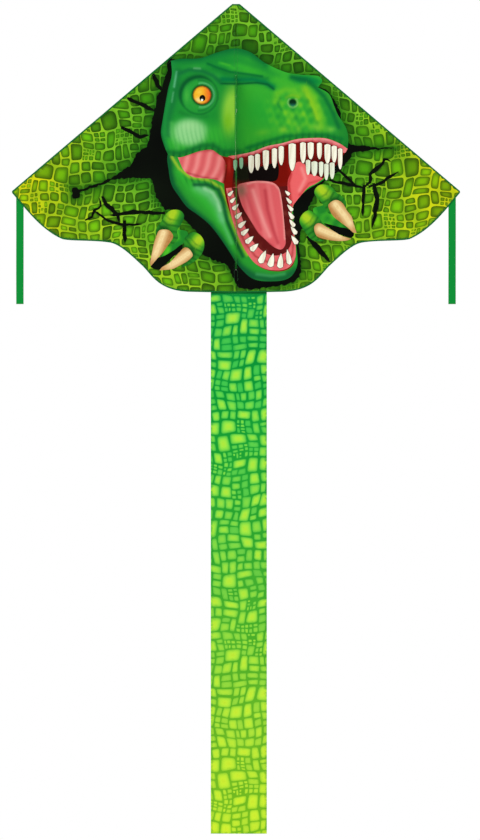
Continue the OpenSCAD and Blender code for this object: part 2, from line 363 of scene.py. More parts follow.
def scale_shapes(rng, area, low, high, line_w, painter, keep):
    """Scale cells over a rectangle, with the points inside them."""
    found = []
    blocks(rng, *area, low, high, found)
    shapes, inner, depth = [], [], []
    for block in found:
        outline, points, deep = cell(rng, block, line_w)
        tint = rng.uniform(-1, 1)
        if keep(outline):
            shapes.append(Shape(outline, painter, tint))
            inner.append(points)
            depth.append(deep)
    return shapes, np.concatenate(inner), np.concatenate(depth)


# ---------------------------------------------------------------- from print to mesh


def inside(points, loop):
    """Which points lie inside a closed loop."""
    x, y = points[:, 0], points[:, 1]
    result = np.zeros(len(points), bool)
    for (x0, y0), (x1, y1) in zip(loop, np.roll(loop, -1, axis=0)):
        crosses = (y0 > y) != (y1 > y)
        at = x0 + (y - y0) * (x1 - x0) / (y1 - y0 + 1e-12)
        result ^= crosses & (x < at)
    return result


# Rows of an even triangular lattice lie this far apart, as a share of the step along them.
ROW_SHARE = 0.866


def lattice(loop, step, clear_of, clearance=1.3):
    """Even points inside a loop, kept clear of other points."""
    low, high = loop.min(0), loop.max(0)
    rows = np.arange(low[1], high[1], step * ROW_SHARE)
    grid = [
        (x + (k % 2) * step / 2, d)
        for k, d in enumerate(rows)
        for x in np.arange(low[0], high[0], step)
    ]
    grid = np.array(grid)
    grid = grid[inside(grid, loop)]
    tree = KDTree(len(clear_of))
    for k, (x, d) in enumerate(clear_of):
        tree.insert((x, d, 0), k)
    tree.balance()
    far = [tree.find((x, d, 0))[2] > clearance for x, d in grid]
    return grid[np.array(far, bool)]


def triangulate(boundary, shapes, loose, depth):
    """Triangles of a print: points, corners, the shape on top at each, and point depths."""
    low, high = boundary.min(0), boundary.max(0)
    used = [
        s
        for s in shapes
        if np.all(s.outline.max(0) > low) and np.all(s.outline.min(0) < high)
    ]
    points, faces, deep = [], [], []
    for loop in [boundary] + [s.outline for s in used]:
        loop = loop if signed_area(loop) > 0 else loop[::-1]
        faces.append(list(range(len(points), len(points) + len(loop))))
        points.extend(loop)
        deep.extend([0.0] * len(loop))
    near = np.all((loose > low) & (loose < high), axis=1)
    points.extend(loose[near])
    deep.extend(depth[near])
    verts, _, tris, origin, _, inside_of = delaunay_2d_cdt(
        [Vector(p) for p in points], [], faces, 0, 1e-4
    )
    deep = np.array([deep[o[0]] if o else 0.0 for o in origin])
    keep = [(t, max(f), 1 in f) for t, f in zip(tris, inside_of) if 0 in f]
    corners = np.array([k[0] for k in keep])
    top = np.array([k[1] if k[2] or k[1] == 0 else 0 for k in keep])
    return np.array([tuple(v) for v in verts]), corners, top, deep, used


def paint(flat, corners, top, deep, used, edge_colour):
    """The colour at every corner of every triangle."""
    colour = np.tile(edge_colour, (len(corners), 3, 1)).astype(float)
    tints = np.array([0.0] + [s.tint for s in used])[top]
    painters = [None] + [s.painter for s in used]
    index = {}
    for k, which in enumerate(painters):
        if which is not None:
            index.setdefault(which, []).append(k)
    for which, ids in index.items():
        rows = np.nonzero(np.isin(top, ids))[0]
        if len(rows):
            p = flat[corners[rows]].reshape(-1, 2)
            tint = np.repeat(tints[rows], 3)
            painted = which(p, deep[corners[rows]].reshape(-1), tint)
            colour[rows] = np.broadcast_to(painted, (len(p), 3)).reshape(-1, 3, 3)
    return colour


def solid_sheet(name, flat, corners, place, relief, materials, colours, middle=0.0):
    """A closed thin cloth from flat triangles, with its print as a corner colour."""
    used, renumbered = np.unique(corners, return_inverse=True)
    flat, corners = flat[used], renumbered.reshape(-1, 3)
    lift = relief(flat[:, 0], flat[:, 1]) + middle
    front = place(flat[:, 0], flat[:, 1], lift - CLOTH / 2)
    back = place(flat[:, 0], flat[:, 1], lift + CLOTH / 2)
    a, b, c = (front[corners[:, k]] for k in range(3))
    if np.sum(np.cross(b - a, c - a) * (front - back)[corners[:, 0]]) < 0:
        corners, colours = corners[:, ::-1], colours[:, ::-1]
    n = len(flat)
    ends = corners[:, [0, 1, 1, 2, 2, 0]].reshape(-1, 2)
    open_edge = ~np.isin(ends[:, 0] * n + ends[:, 1], ends[:, 1] * n + ends[:, 0])
    rim = ends[open_edge]
    rim_colour = colours.reshape(-1, 3)[open_edge].repeat(4, axis=0)
    quads = np.stack([rim[:, 1], rim[:, 0], rim[:, 0] + n, rim[:, 1] + n], axis=-1)
    faces = corners.tolist() + (corners[:, ::-1] + n).tolist() + quads.tolist()
    counts = [len(corners), len(corners), len(quads)]
    kinds = np.repeat([0, len(materials) - 1, 0], counts)
    smooth = np.repeat([True, True, False], counts)
    verts = np.concatenate([front, back]).tolist()
    obj = new_object(name, verts, faces, materials, kinds, smooth)
    store_print(obj.data, [colours.reshape(-1, 3), colours[:, ::-1].reshape(-1, 3), rim_colour])
    return obj


def store_print(mesh, colours):
    """Keeps the print as a colour at each corner of each face."""
    colours = linear(np.concatenate(colours))
    rgba = np.c_[colours, np.ones(len(colours))].astype(np.float32)
    attribute = mesh.color_attributes.new(name="print", type="FLOAT_COLOR", domain="CORNER")
    attribute.data.foreach_set("color", rgba.ravel())


def new_object(name, verts, faces, materials, kinds, smooth):
    """A mesh object with a material's number and a smoothness for each face."""
    mesh = bpy.data.meshes.new(name)
    mesh.from_pydata(verts, [], faces)
    for material in materials:
        mesh.materials.append(material)
    mesh.polygons.foreach_set("material_index", np.array(kinds, np.int32))
    mesh.polygons.foreach_set("use_smooth", smooth)
    mesh.update()
    return in_scene(name, mesh)


def in_scene(name, data):
    """A new object of the scene."""
    obj = bpy.data.objects.new(name, data)
    bpy.context.scene.collection.objects.link(obj)
    return obj


def cloth_grid(grid, thickness=CLOTH):
    """Vertices and faces of a thin closed cloth along a grid of points in metres."""
    grid = np.asarray(grid, float)
    normal = np.cross(np.gradient(grid, axis=0), np.gradient(grid, axis=1))
    normal /= np.linalg.norm(normal, axis=2)[..., None] + 1e-12
    rows, cols = grid.shape[:2]
    offset = normal * thickness * MM / 2
    verts = np.concatenate([(grid + offset).reshape(-1, 3), (grid - offset).reshape(-1, 3)])
    n = rows * cols
    faces = []
    for i in range(rows - 1):
        for j in range(cols - 1):
            a, b, c, d = i * cols + j, (i + 1) * cols + j, (i + 1) * cols + j + 1, i * cols + j + 1
            faces.append((a, b, c, d))
            faces.append((d + n, c + n, b + n, a + n))
    border = list(range(cols))
    border += [i * cols + cols - 1 for i in range(1, rows)]
    border += [(rows - 1) * cols + j for j in range(cols - 2, -1, -1)]
    border += [i * cols for i in range(rows - 2, 0, -1)]
    for a, b in zip(border, border[1:] + border[:1]):
        faces.append((a, b, b + n, a + n))
    return verts, faces


THREAD_RADIUS = 0.26
DASH_SIDES = 5


def dash(points):
    """The vertices of a thread dash through three points, thin at both ends."""
    along = (points[2] - points[0]) / (np.linalg.norm(points[2] - points[0]) + 1e-12)
    side = np.cross(along, (0.31, 0.67, 0.67))
    side /= np.linalg.norm(side)
    angles = np.arange(DASH_SIDES) * 2 * math.pi / DASH_SIDES
    circle = np.outer(np.cos(angles), side) + np.outer(np.sin(angles), np.cross(along, side))
    sizes = THREAD_RADIUS * MM * np.array((0.45, 1.0, 0.45))
    return np.concatenate([point + circle * size for point, size in zip(points, sizes)])


def dash_faces(base):
    """The faces of a dash whose vertices start at base: two rings of sides and two caps."""
    faces = []
    for ring in (0, DASH_SIDES):
        for k in range(DASH_SIDES):
            p, q = base + ring + k, base + ring + (k + 1) % DASH_SIDES
            faces.append((p, q, q + DASH_SIDES, p + DASH_SIDES))
    faces.append(tuple(base + k for k in reversed(range(DASH_SIDES))))
    faces.append(tuple(base + 2 * DASH_SIDES + k for k in range(DASH_SIDES)))
    return faces


def stitch_row(line, length=2.7, gap=1.1):
    """Thread dashes along a line of points in metres; length and gap are in mm."""
    line = np.asarray(line, float)
    run = run_along(line) / MM
    dashes, faces = [], []
    start = gap
    while start + length < run[-1]:
        faces += dash_faces(len(dashes) * 3 * DASH_SIDES)
        dashes.append(dash(points_at(line, run, [start, start + length / 2, start + length])))
        start += length + gap
    return np.concatenate(dashes), faces


def piece(name, parts):
    """One object from parts of (vertices, faces, material)."""
    verts, faces, kinds, materials = [], [], [], []
    for part_verts, part_faces, material in parts:
        base = len(verts)
        verts.extend(np.asarray(part_verts).tolist())
        faces.extend(tuple(base + k for k in f) for f in part_faces)
        if material not in materials:
            materials.append(material)
        kinds.extend([materials.index(material)] * len(part_faces))
    return new_object(name, verts, faces, materials, kinds, np.ones(len(faces), bool))


# ---------------------------------------------------------------- the printed picture

# Outlines in mm, across from the middle and down from the nose; a third value marks a sharp corner.
HOLE = (
    (-174, 145), (-185, 177), (-198, 228), (-209, 239), (-222, 300), (-230, 340),
    (-239, 383, 1), (-263, 399), (-281, 431, 1), (-346, 472), (-418, 496, 1), (-440, 490, 1),
    (-440, 520, 1), (-421, 520, 1), (-415, 501, 1), (-362, 485), (-330, 469, 1), (-230, 469),
    (-214, 515), (-190, 555, 1), (-172, 549), (-107, 611), (-86, 649), (-91, 670), (-59, 686),
    (-24, 702), (0, 750), (24, 764), (70, 761), (155, 745), (174, 713), (169, 646), (180, 584),
    (204, 528), (236, 474), (279, 445), (314, 399, 1), (348, 394), (375, 391), (431, 386, 1),
    (348, 381), (297, 367), (281, 297), (257, 247), (220, 225), (150, 250), (0, 200),
)
# Each crack's width, then its points.
CRACKS = (
    (16, (-222, 186), (-212, 214), (-196, 236)),
    (13, (-292, 252), (-257, 268), (-217, 287)),
    (13, (-308, 330), (-279, 343), (-255, 356), (-233, 351)),
    (12, (-359, 515), (-350, 535), (-335, 547), (-316, 565), (-314, 584)),
    (12, (-190, 560), (-240, 558), (-284, 557), (-316, 565), (-338, 566)),
    (8, (-405, 579), (-386, 571), (-378, 552), (-362, 544), (-366, 520)),
    (9, (-378, 556), (-338, 584), (-306, 592), (-252, 590)),
    (15, (-298, 580), (-300, 611), (-297, 640)),
    (10, (250, 470), (270, 478), (314, 485), (343, 493)),
    (8, (268, 440), (292, 461), (324, 488)),
    (10, (343, 485), (341, 523), (340, 568)),
    (10, (343, 493), (362, 472), (359, 456), (394, 426), (399, 413), (415, 423)),
    (9, (355, 490), (391, 480), (407, 466), (434, 450)),
    (14, (368, 480), (378, 523), (373, 565), (364, 600)),
    (14, (190, 622), (220, 654), (252, 692)),
)
JAW = (
    (-182, 402), (-180, 448), (-172, 485), (-153, 515), (-131, 544), (-102, 565), (-72, 590),
    (-46, 622), (-19, 662), (5, 699), (38, 732), (67, 742), (115, 742), (142, 734), (158, 716),
    (165, 692), (163, 662), (158, 622), (153, 563), (153, 544), (163, 523), (193, 496), (233, 472),
    (262, 440), (290, 400, 1), (100, 360), (-150, 380, 1),
)
MOUTH = (
    (-43, 400, 1), (-27, 430), (-32, 480), (-27, 523), (-11, 574), (21, 654), (54, 697), (83, 713),
    (123, 716), (150, 703), (160, 673), (156, 622), (148, 563), (154, 532), (190, 494), (233, 467),
    (262, 440), (299, 388, 1), (163, 360), (83, 375),
)
HEAD = (
    (-174, 152, 1), (-150, 147), (-96, 145), (-48, 129), (-3, 119), (38, 129), (78, 158), (134, 183),
    (180, 190), (220, 193), (231, 206), (219, 223, 1), (249, 241), (263, 273), (273, 297), (295, 332),
    (301, 362), (298, 390, 1), (276, 375), (241, 362), (200, 361), (163, 364), (123, 375), (83, 383),
    (46, 397), (11, 406), (-22, 410), (-43, 405), (-64, 391), (-96, 394), (-129, 405), (-153, 411),
    (-182, 404, 1), (-193, 378), (-201, 346), (-196, 308), (-182, 228), (-172, 190),
)
MEMBRANE = (
    (-157, 408, 1), (-129, 400), (-96, 388), (-64, 386), (-43, 400), (-30, 412), (-27, 440),
    (-31, 482, 1), (-59, 470), (-113, 464), (-139, 447),
)
BAND = (
    (-45, 402, 1), (-8, 408, 1), (-6, 440), (-9, 470), (-12, 500, 1), (-29, 490), (-25, 450), (-28, 420),
)
THROAT = ((35, 424), (50, 438), (85, 430), (112, 426), (110, 470), (75, 476), (38, 476))
CAVITY = ((88, 384), (125, 374), (161, 372), (163, 420), (150, 455), (140, 476), (112, 474), (100, 430))
GUM_LOW = (
    (-27, 494, 1), (-19, 535), (-11, 574), (4, 618), (21, 654), (38, 680), (54, 697), (83, 711),
    (123, 713), (148, 700), (160, 673), (157, 622), (149, 563), (154, 530), (140, 494, 1), (60, 484),
)
FLOOR = (
    (-12, 492, 1), (3, 539), (13, 563), (27, 603), (46, 637), (78, 667), (108, 674), (137, 662),
    (152, 622), (147, 563), (138, 488, 1),
)
TONGUE = (
    (4, 488), (22, 479), (54, 474), (82, 475), (100, 479), (115, 493), (123, 528), (128, 575),
    (132, 622), (132, 645), (120, 658), (96, 648), (77, 630), (60, 614), (38, 579), (16, 540),
)
CHEEK_RIGHT = (
    (163, 424), (184, 429), (190, 452), (214, 459), (234, 468, 1), (212, 482), (193, 492),
    (168, 520), (148, 546, 1), (139, 500), (139, 474), (147, 453),
)
GUM_TOP = (
    (-22, 408, 1), (11, 403), (46, 395), (83, 381), (123, 373), (163, 362), (200, 359), (241, 360),
    (276, 373), (299, 388, 1), (290, 399), (272, 386), (245, 374), (205, 370), (170, 371),
    (125, 381), (90, 391), (58, 402), (30, 409), (-5, 416, 1),
)
# Upper teeth: left edge, right edge, root and point, with the far row after the near one.
TEETH_TOP = (
    (-7, 3, 420, 446), (9, 19, 414, 442), (33, 48, 408, 453), (51, 64, 404, 446), (72, 88, 394, 445),
    (96, 110, 389, 440), (114, 128, 383, 432), (141, 160, 376, 447), (172, 187, 373, 427),
    (192, 208, 373, 416), (217, 230, 374, 416), (237, 253, 378, 428), (256, 270, 382, 425),
    (273, 285, 389, 443),
)
TEETH_FAR = (
    (187, 199, 420, 458), (202, 218, 424, 461), (222, 234, 425, 463), (236, 248, 430, 472),
    (251, 264, 427, 469),
)
# Lower teeth: root on the gum, point, and width.
TEETH_LOW = (
    (-19, 512, -7, 500, 9), (-13, 530, -1, 518, 10), (-7, 549, 7, 536, 11), (1, 572, 16, 558, 12),
    (9, 596, 27, 581, 13), (17, 616, 35, 602, 13), (29, 638, 47, 622, 14), (42, 658, 60, 642, 15),
    (66, 690, 80, 660, 17), (92, 700, 100, 668, 17), (118, 703, 121, 668, 16), (143, 693, 137, 657, 14),
    (162, 640, 148, 620, 13), (160, 614, 147, 596, 12), (155, 594, 143, 577, 11),
    (152, 573, 140, 556, 11), (150, 552, 137, 537, 10), (146, 532, 134, 518, 9), (142, 510, 131, 500, 9),
)
# The middles of the iris and of the nostril.
EYE = (-91, 244)
NOSTRIL = (152, 264)

FINGERS_LEFT = (
    ((-214, 624), (-214, 603), (-201, 584), (-188, 563), (-172, 552), (-150, 553), (-139, 568),
     (-147, 590), (-158, 608), (-155, 627), (-177, 649), (-204, 638)),
    ((-139, 649), (-139, 630), (-129, 618), (-113, 611), (-96, 619), (-86, 635), (-86, 654),
     (-94, 673), (-113, 691), (-145, 705), (-134, 681)),
)
CLAWS_LEFT = (
    ((-213, 620), (-206, 607), (-192, 604), (-178, 607), (-169, 619), (-170, 629), (-182, 646),
     (-196, 666), (-210, 681), (-228, 702, 1), (-230, 693), (-225, 666), (-219, 638)),
    ((-139, 653), (-127, 655), (-118, 666), (-116, 675), (-130, 689), (-152, 701), (-170, 710),
     (-205, 714, 1), (-198, 705), (-178, 693), (-158, 672)),
)
PALM_LEFT = (
    (-158, 606), (-143, 606), (-129, 612), (-134, 632), (-146, 646), (-177, 675), (-206, 683, 1),
    (-196, 665), (-182, 646), (-170, 629),
)
GAP_LEFT = (
    (-145, 644), (-166, 659), (-193, 675), (-212, 681), (-229, 703), (-206, 712), (-188, 697),
    (-166, 675), (-146, 660),
)
FINGERS_RIGHT = (
    ((210, 507), (214, 493), (227, 484), (245, 485), (260, 493), (271, 507), (287, 517), (295, 533),
     (289, 552), (252, 563), (236, 541), (222, 523)),
    ((170, 582), (178, 563), (193, 553), (206, 557), (220, 571), (230, 587), (220, 606), (216, 624),
     (236, 635), (204, 632), (182, 606)),
)
CLAWS_RIGHT = (
    ((247, 541), (255, 530), (270, 525), (286, 534), (297, 553), (310, 570), (315, 589),
     (323, 613, 1), (315, 613), (299, 599), (279, 584), (260, 568)),
    ((209, 599), (217, 588), (227, 588), (242, 597), (264, 610), (283, 621), (309, 629, 1),
     (296, 634), (273, 635), (247, 632), (217, 622)),
)
PALM_RIGHT = (
    (206, 549), (227, 541), (242, 539), (260, 568), (279, 584), (299, 600, 1), (271, 603), (241, 595),
    (217, 574),
)
GAP_RIGHT = (
    (236, 588), (260, 593), (279, 598), (299, 602), (316, 615), (309, 626), (292, 622), (273, 616),
    (255, 603),
)


def torn(outline, step, depth, seed):
    """An outline roughened as if it had been torn."""
    rng = random.Random(seed)
    line = resample(curve(outline, step), step)
    return line + normals_2d(line) * np.array([rng.uniform(-depth, depth) for _ in line])[:, None]


HEAD_LOOP = curve(HEAD, 6)
HEAD_LINE = curve(HEAD + (HEAD[0],), 14, closed=False)
HOLE_LOOP = torn(HOLE, 6, 2.3, 4)
HOLE_LINE = curve(HOLE, 16)


# A painter gives the colour of points p, from how deep each lies in its scale and its shape's tint.


def brushed(base, *touches):
    """A painter of one colour with airbrush touches on it."""
    return lambda p, depth, tint: airbrush(p, even(p, *base), touches)


def black_paint(p, depth, tint):
    return mix(rgb(2, 4, 2), rgb(8, 16, 6), 0.5 + 0.5 * ripple(p, 40, 3))


def from_middle(p):
    """0 in the middle of the sail and about 1 at the wing tips."""
    return np.hypot(p[:, 0], (p[:, 1] - 380) * 0.9) / 600


def ground_paint(p, depth, tint):
    """The lines between the scales."""
    far = from_middle(p)
    base = ramp(far, ((0.30, rgb(84, 166, 40)), (0.55, rgb(128, 192, 40)), (0.95, rgb(232, 218, 14))))
    base = mix(base, rgb(168, 204, 30), 0.5 * lower_outer(p, far))
    base = mix(base, rgb(76, 144, 26), np.clip(0.35 + 0.7 * ripple(p, 15, 5), 0, 0.8) * (1 - far * 0.6))
    return mix(base, rgb(24, 96, 14), 0.85 * near_picture(p, 16))


def scale_paint(p, depth, tint):
    """One scale: dark at its rim and lighter inside."""
    far = from_middle(p)
    base = ramp(far, ((0.35, rgb(48, 118, 14)), (0.62, rgb(76, 148, 14)), (0.95, rgb(130, 166, 4))))
    base = mix(base, rgb(106, 158, 12), 0.5 * lower_outer(p, far))
    base = base * (1 + 0.2 * tint)[:, None]
    base = mix(base * 0.55, base * 1.06, depth * 1.4)
    base = mix(base, rgb(110, 172, 20), 0.35 * np.clip(ripple(p, 12, 7), 0, 1))
    return mix(base, rgb(18, 72, 10), 0.6 * near_picture(p, 26))


def lower_outer(p, far):
    """1 towards the lower outer edge, where the print turns yellower."""
    return np.clip((p[:, 1] - 470) / 200, 0, 1) * np.clip(far * 2 - 0.4, 0, 1)


def near_picture(p, reach):
    """1 beside the head and the black hole, falling off over reach."""
    return np.exp(-np.minimum(to_line(p, HEAD_LINE), to_line(p, HOLE_LINE)) / reach)


# The middle seam of the printed picture, the upper lip, and what airbrush() adds to the head.
SEAM_X = 2.5
LIP_LINE = [
    (-182, 404), (-153, 409), (-129, 402), (-96, 391), (-64, 388), (-43, 402), (-22, 409), (11, 404),
    (46, 395), (83, 381), (123, 372), (163, 362), (200, 359), (241, 360), (276, 373), (298, 388),
]
HEAD_TOUCHES = (
    ((16, 122, 52), 0.95, [(-168, 152), (-96, 149), (-48, 136), (-3, 126), (38, 136), (78, 164)], 17),
    ((4, 96, 48), 0.7, [(-170, 150), (-96, 145), (-48, 129), (-3, 119), (38, 129), (78, 158)], 7),
    ((20, 132, 50), 0.6, [(-70, 158), (-30, 152), (10, 150), (60, 168), (110, 196)], 16),
    ((50, 172, 46), 0.7, [(-44, 158), (-22, 165), (-4, 172)], 6),
    ((46, 168, 46), 0.6, [(4, 164), (34, 175), (62, 185)], 7),
    ((42, 160, 46), 0.5, [(60, 180), (92, 194), (120, 206)], 10),
    ((90, 190, 46), 0.4, [(-38, 158), (-16, 164)], 3),
    ((14, 118, 48), 0.6, [(-60, 172), (-20, 188), (30, 195), (84, 200)], 9),
    ((50, 164, 60), 0.5, (-50, 194), (34, 9), 10),
    ((60, 172, 60), 0.3, (-110, 168), (40, 10), -6),
    ((60, 172, 46), 0.9, [(110, 204), (140, 214), (170, 226)], 18),
    ((0, 122, 60), 0.95, (192, 205), (50, 16), 8, 3),
    ((2, 96, 50), 0.8, [(150, 196), (190, 205), (215, 226), (236, 248), (256, 284), (274, 330)], 11),
    ((24, 140, 52), 0.8, [(226, 262), (248, 300), (262, 340)], 14),
    ((36, 164, 50), 0.7, (58, 290), (50, 54), 0, 3),
    ((18, 112, 54), 0.8, [(-156, 180), (-160, 220), (-168, 260), (-180, 300), (-182, 350)], 15),
    ((22, 120, 48), 0.6, [(-150, 290), (-110, 304), (-80, 300)], 9),
    ((150, 212, 146), 0.95, (-124, 344), (56, 42), 0, 6),
    ((176, 220, 160), 0.35, (-128, 326), (34, 18)),
    ((84, 184, 84), 0.6, [(-172, 320), (-168, 360), (-158, 385)], 9),
    ((52, 172, 52), 0.8, (-56, 350), (28, 30), 0, 3),
    ((24, 134, 60), 0.85, [(-172, 160), (-174, 200), (-184, 250), (-194, 300), (-198, 345), (-188, 385)], 14),
    ((6, 88, 40), 0.7, [(-177, 200), (-188, 250), (-198, 300), (-202, 345), (-192, 385)], 6),
    ((120, 196, 160), 0.7, [(-159, 182), (-163, 204), (-166, 222)], 4),
    ((130, 196, 160), 0.5, [(-168, 236), (-172, 262)], 3),
    ((150, 196, 30), 0.95, [(186, 232), (200, 256), (210, 280), (219, 306)], 12),
    ((118, 190, 36), 0.7, [(184, 226), (206, 250), (222, 290), (226, 330)], 18),
    ((96, 186, 42), 0.85, [(104, 262), (110, 240), (130, 230), (156, 232), (174, 246)], 13),
    ((120, 180, 34), 0.7, [(136, 250), (152, 244), (168, 250)], 7),
    ((30, 130, 50), 0.6, [(118, 252), (112, 268), (122, 284)], 5),
    ((104, 188, 44), 0.6, (150, 302), (26, 22)),
    ((90, 180, 46), 0.7, (72, 344), (28, 12), -10),
    ((132, 196, 46), 0.9, (128, 336), (16, 13)),
    ((112, 192, 48), 0.9, (168, 332), (12, 13)),
    ((116, 192, 52), 0.9, (216, 330), (20, 12)),
    ((104, 188, 60), 0.9, (254, 336), (19, 12)),
    ((10, 118, 48), 0.85, [(30, 386), (86, 368), (130, 355), (186, 350), (240, 351), (284, 362)], 9),
    ((10, 104, 46), 0.75, [(-186, 396), (-150, 400), (-124, 392), (-92, 380), (-62, 378), (-36, 396),
                           (10, 396)], 11),
)


def head_paint(p, depth, tint):
    """The upper head, airbrushed."""
    x, d = p[:, 0], p[:, 1]
    base = mix(even(p, 26, 140, 50), rgb(52, 168, 48), (x + 30) / 60)
    base = mix(base, rgb(48, 170, 50), np.clip((d - 300) / 60, 0, 1) * np.clip(-x / 60, 0, 1))
    base = mix(base, rgb(26, 124, 44), (x - 225) / 80)
    base = airbrush(p, base, HEAD_TOUCHES)
    left_of_seam = np.clip(-(x + SEAM_X) * 1.2, 0, 1)
    patch = np.clip(1.15 * spot(p, (-10, 284), (36, 80), 4, 3), 0, 1) * left_of_seam
    base = mix(base, rgb(146, 206, 66), patch)
    base = mix(base, rgb(118, 184, 30), 0.8 * spot(p, (-22, 316), (17, 40)) * left_of_seam)
    mottle = ripple(p, 6.5, 9)
    snout = spot(p, (165, 292), (98, 66), 0, 3)
    base = mix(base, rgb(124, 198, 38), 0.8 * np.clip(mottle, 0, 1) * snout)
    base = mix(base, rgb(14, 128, 50), 0.6 * np.clip(-mottle, 0, 1) * snout)
    streaks = np.clip(np.sin(x / 2.7 + 2 * np.sin(d / 31)), 0, 1)
    fringe = np.exp(-to_line(p, LIP_LINE) / 10)
    base = mix(base, rgb(6, 74, 34), 0.85 * fringe * (0.4 + 0.6 * streaks))
    hatching = np.clip(np.sin(x / 1.9 + 3 * np.sin(d / 23)), 0, 1) * np.clip((d - 300) / 60, 0, 1)
    base = mix(base, rgb(24, 120, 50), 0.2 * hatching * np.clip(-x / 60, 0, 1))
    return brow_and_eye_paint(p, base)


def brow_and_eye_paint(p, base):
    """The brow, the eye's socket and the nostril, over the head's own colour."""
    base = airbrush(p, base, (
        ((0, 116, 64), 0.95, [(-36, 202), (4, 203), (46, 203), (76, 209), (98, 222)], 12),
        ((0, 84, 44), 0.9, [(-40, 213), (4, 214), (56, 211), (84, 215), (101, 228)], 4),
        ((0, 100, 48), 0.85, [(-76, 160), (-48, 171), (-16, 182), (30, 188), (70, 194)], 5),
        ((16, 110, 56), 0.9, [(-152, 186), (-126, 176), (-90, 180), (-62, 192), (-44, 208)], 9),
        ((150, 190, 160), 0.45, [(-112, 172), (-96, 173)], 4),
    ))
    away = np.hypot(p[:, 0] - EYE[0] + 8, p[:, 1] - EYE[1] - 1)
    lid = np.clip(0.95 - (p[:, 1] - 216) / 90 - (p[:, 0] + 110) / 100, 0.5, 1.7)
    base = mix(base, rgb(46, 160, 58), 0.9 * np.clip(1.5 - away / 42, 0, 1))
    base = mix(base, rgb(2, 80, 40), np.clip(0.9 * lid, 0, 0.95) * halo(away, 50, 8 * lid))
    base = mix(base, rgb(16, 108, 52), 0.7 * halo(away, 41, 3.5) * (p[:, 0] > -104))
    base = mix(base, rgb(70, 176, 66), 0.8 * spot(p, (-132, 246), (9, 26)))
    iris_away = np.hypot(p[:, 0] - EYE[0], p[:, 1] - EYE[1])
    base = mix(base, rgb(120, 205, 150), 0.6 * halo(iris_away, 32, 4) * (p[:, 0] > -100))
    base = mix(base, rgb(10, 74, 26), 0.9 * halo(iris_away, 26, 4.5))
    below = p[:, 1] - NOSTRIL[1]
    hole = np.hypot(p[:, 0] - NOSTRIL[0], below)
    base = mix(base, rgb(150, 190, 120), 0.7 * halo(hole, 13, 3) * (below > -12))
    dark = mix(even(p, 2, 44, 20), rgb(30, 110, 100), below / 9)
    return mix(base, dark, np.clip(3.2 - hole / 3.6, 0, 1))


def iris_paint(p, depth, tint):
    q = p - np.array(EYE)
    r = np.hypot(q[:, 0], q[:, 1])
    base = mix(even(p, 250, 180, 40), rgb(240, 100, 36), np.clip(q[:, 0] / 22, 0, 1))
    base = mix(base, rgb(250, 226, 180), 0.8 * spot(p, (EYE[0] - 9, EYE[1] + 13), (13, 10)))
    base = mix(base, rgb(255, 210, 90), 0.6 * spot(p, (EYE[0] - 8, EYE[1] - 8), (10, 8)))
    return mix(base, rgb(84, 36, 10), (r - 21) / 4)


pupil_paint = brushed((18, 10, 6))
glint_paint = brushed((252, 250, 244))


def jaw_paint(p, depth, tint):
    """The lower jaw, with its pale ridge and yellow lip."""
    base = even(p, 40, 150, 46)
    base = airbrush(p, base, (
        ((8, 84, 46), 0.95, [(-180, 410), (-178, 448), (-170, 485), (-150, 517), (-128, 546), (-100, 568),
                               (-70, 593), (-44, 625), (-17, 665), (8, 702), (40, 734)], 15),
        ((48, 172, 50), 0.85, [(-150, 450), (-120, 492), (-88, 524), (-60, 556), (-24, 610), (6, 668)], 18),
        ((104, 194, 124), 0.8, [(-104, 492), (-72, 512), (-50, 540), (-36, 576)], 17),
        ((160, 214, 170), 0.75, [(-84, 494), (-62, 506), (-48, 528), (-42, 552)], 9),
        ((110, 196, 140), 0.5, [(-44, 566), (-28, 604), (-12, 640)], 8),
        ((10, 82, 46), 0.85, [(-112, 484), (-76, 484), (-48, 498), (-34, 534), (-24, 580), (-2, 632),
                              (18, 676)], 7),
        ((14, 92, 50), 0.9, [(14, 714), (50, 730), (90, 737), (130, 734), (158, 716)], 17),
        ((70, 160, 100), 0.6, [(56, 724), (96, 729), (130, 723)], 6),
        ((156, 190, 48), 0.95, [(-172, 410), (-153, 440), (-123, 464), (-72, 472), (-40, 492), (-27, 523),
                                (-13, 578), (9, 636), (30, 672)], 6),
        ((20, 104, 40), 0.6, [(163, 716), (168, 690), (163, 640), (157, 575)], 5),
    ))
    near = np.exp(-to_line(p, [(-130, 470), (-72, 478), (-44, 496), (-31, 530), (-18, 580), (6, 640)]) / 9)
    wrinkles = np.clip(np.sin((p[:, 0] - p[:, 1] * 0.4) / 2.6), 0, 1)
    return mix(base, rgb(8, 74, 36), 0.55 * near * wrinkles)


def membrane_paint(p, depth, tint):
    base = even(p, 230, 110, 114)
    folds = np.sin((p[:, 0] + 0.5 * (p[:, 1] - 430) + 6 * np.sin(p[:, 1] / 19)) / 4.6)
    base = mix(base, rgb(244, 150, 152), 0.65 * np.clip(folds, 0, 1))
    base = mix(base, rgb(204, 72, 84), 0.45 * np.clip(-folds, 0, 1))
    return airbrush(p, base, (
        ((178, 56, 66), 0.7, [(-140, 404), (-96, 392), (-60, 390), (-30, 410)], 7),
        ((160, 44, 54), 0.6, [(-132, 452), (-90, 464), (-50, 470)], 4),
        ((130, 24, 20), 0.9, [(-26, 420), (-27, 450), (-32, 480)], 7),
    ))


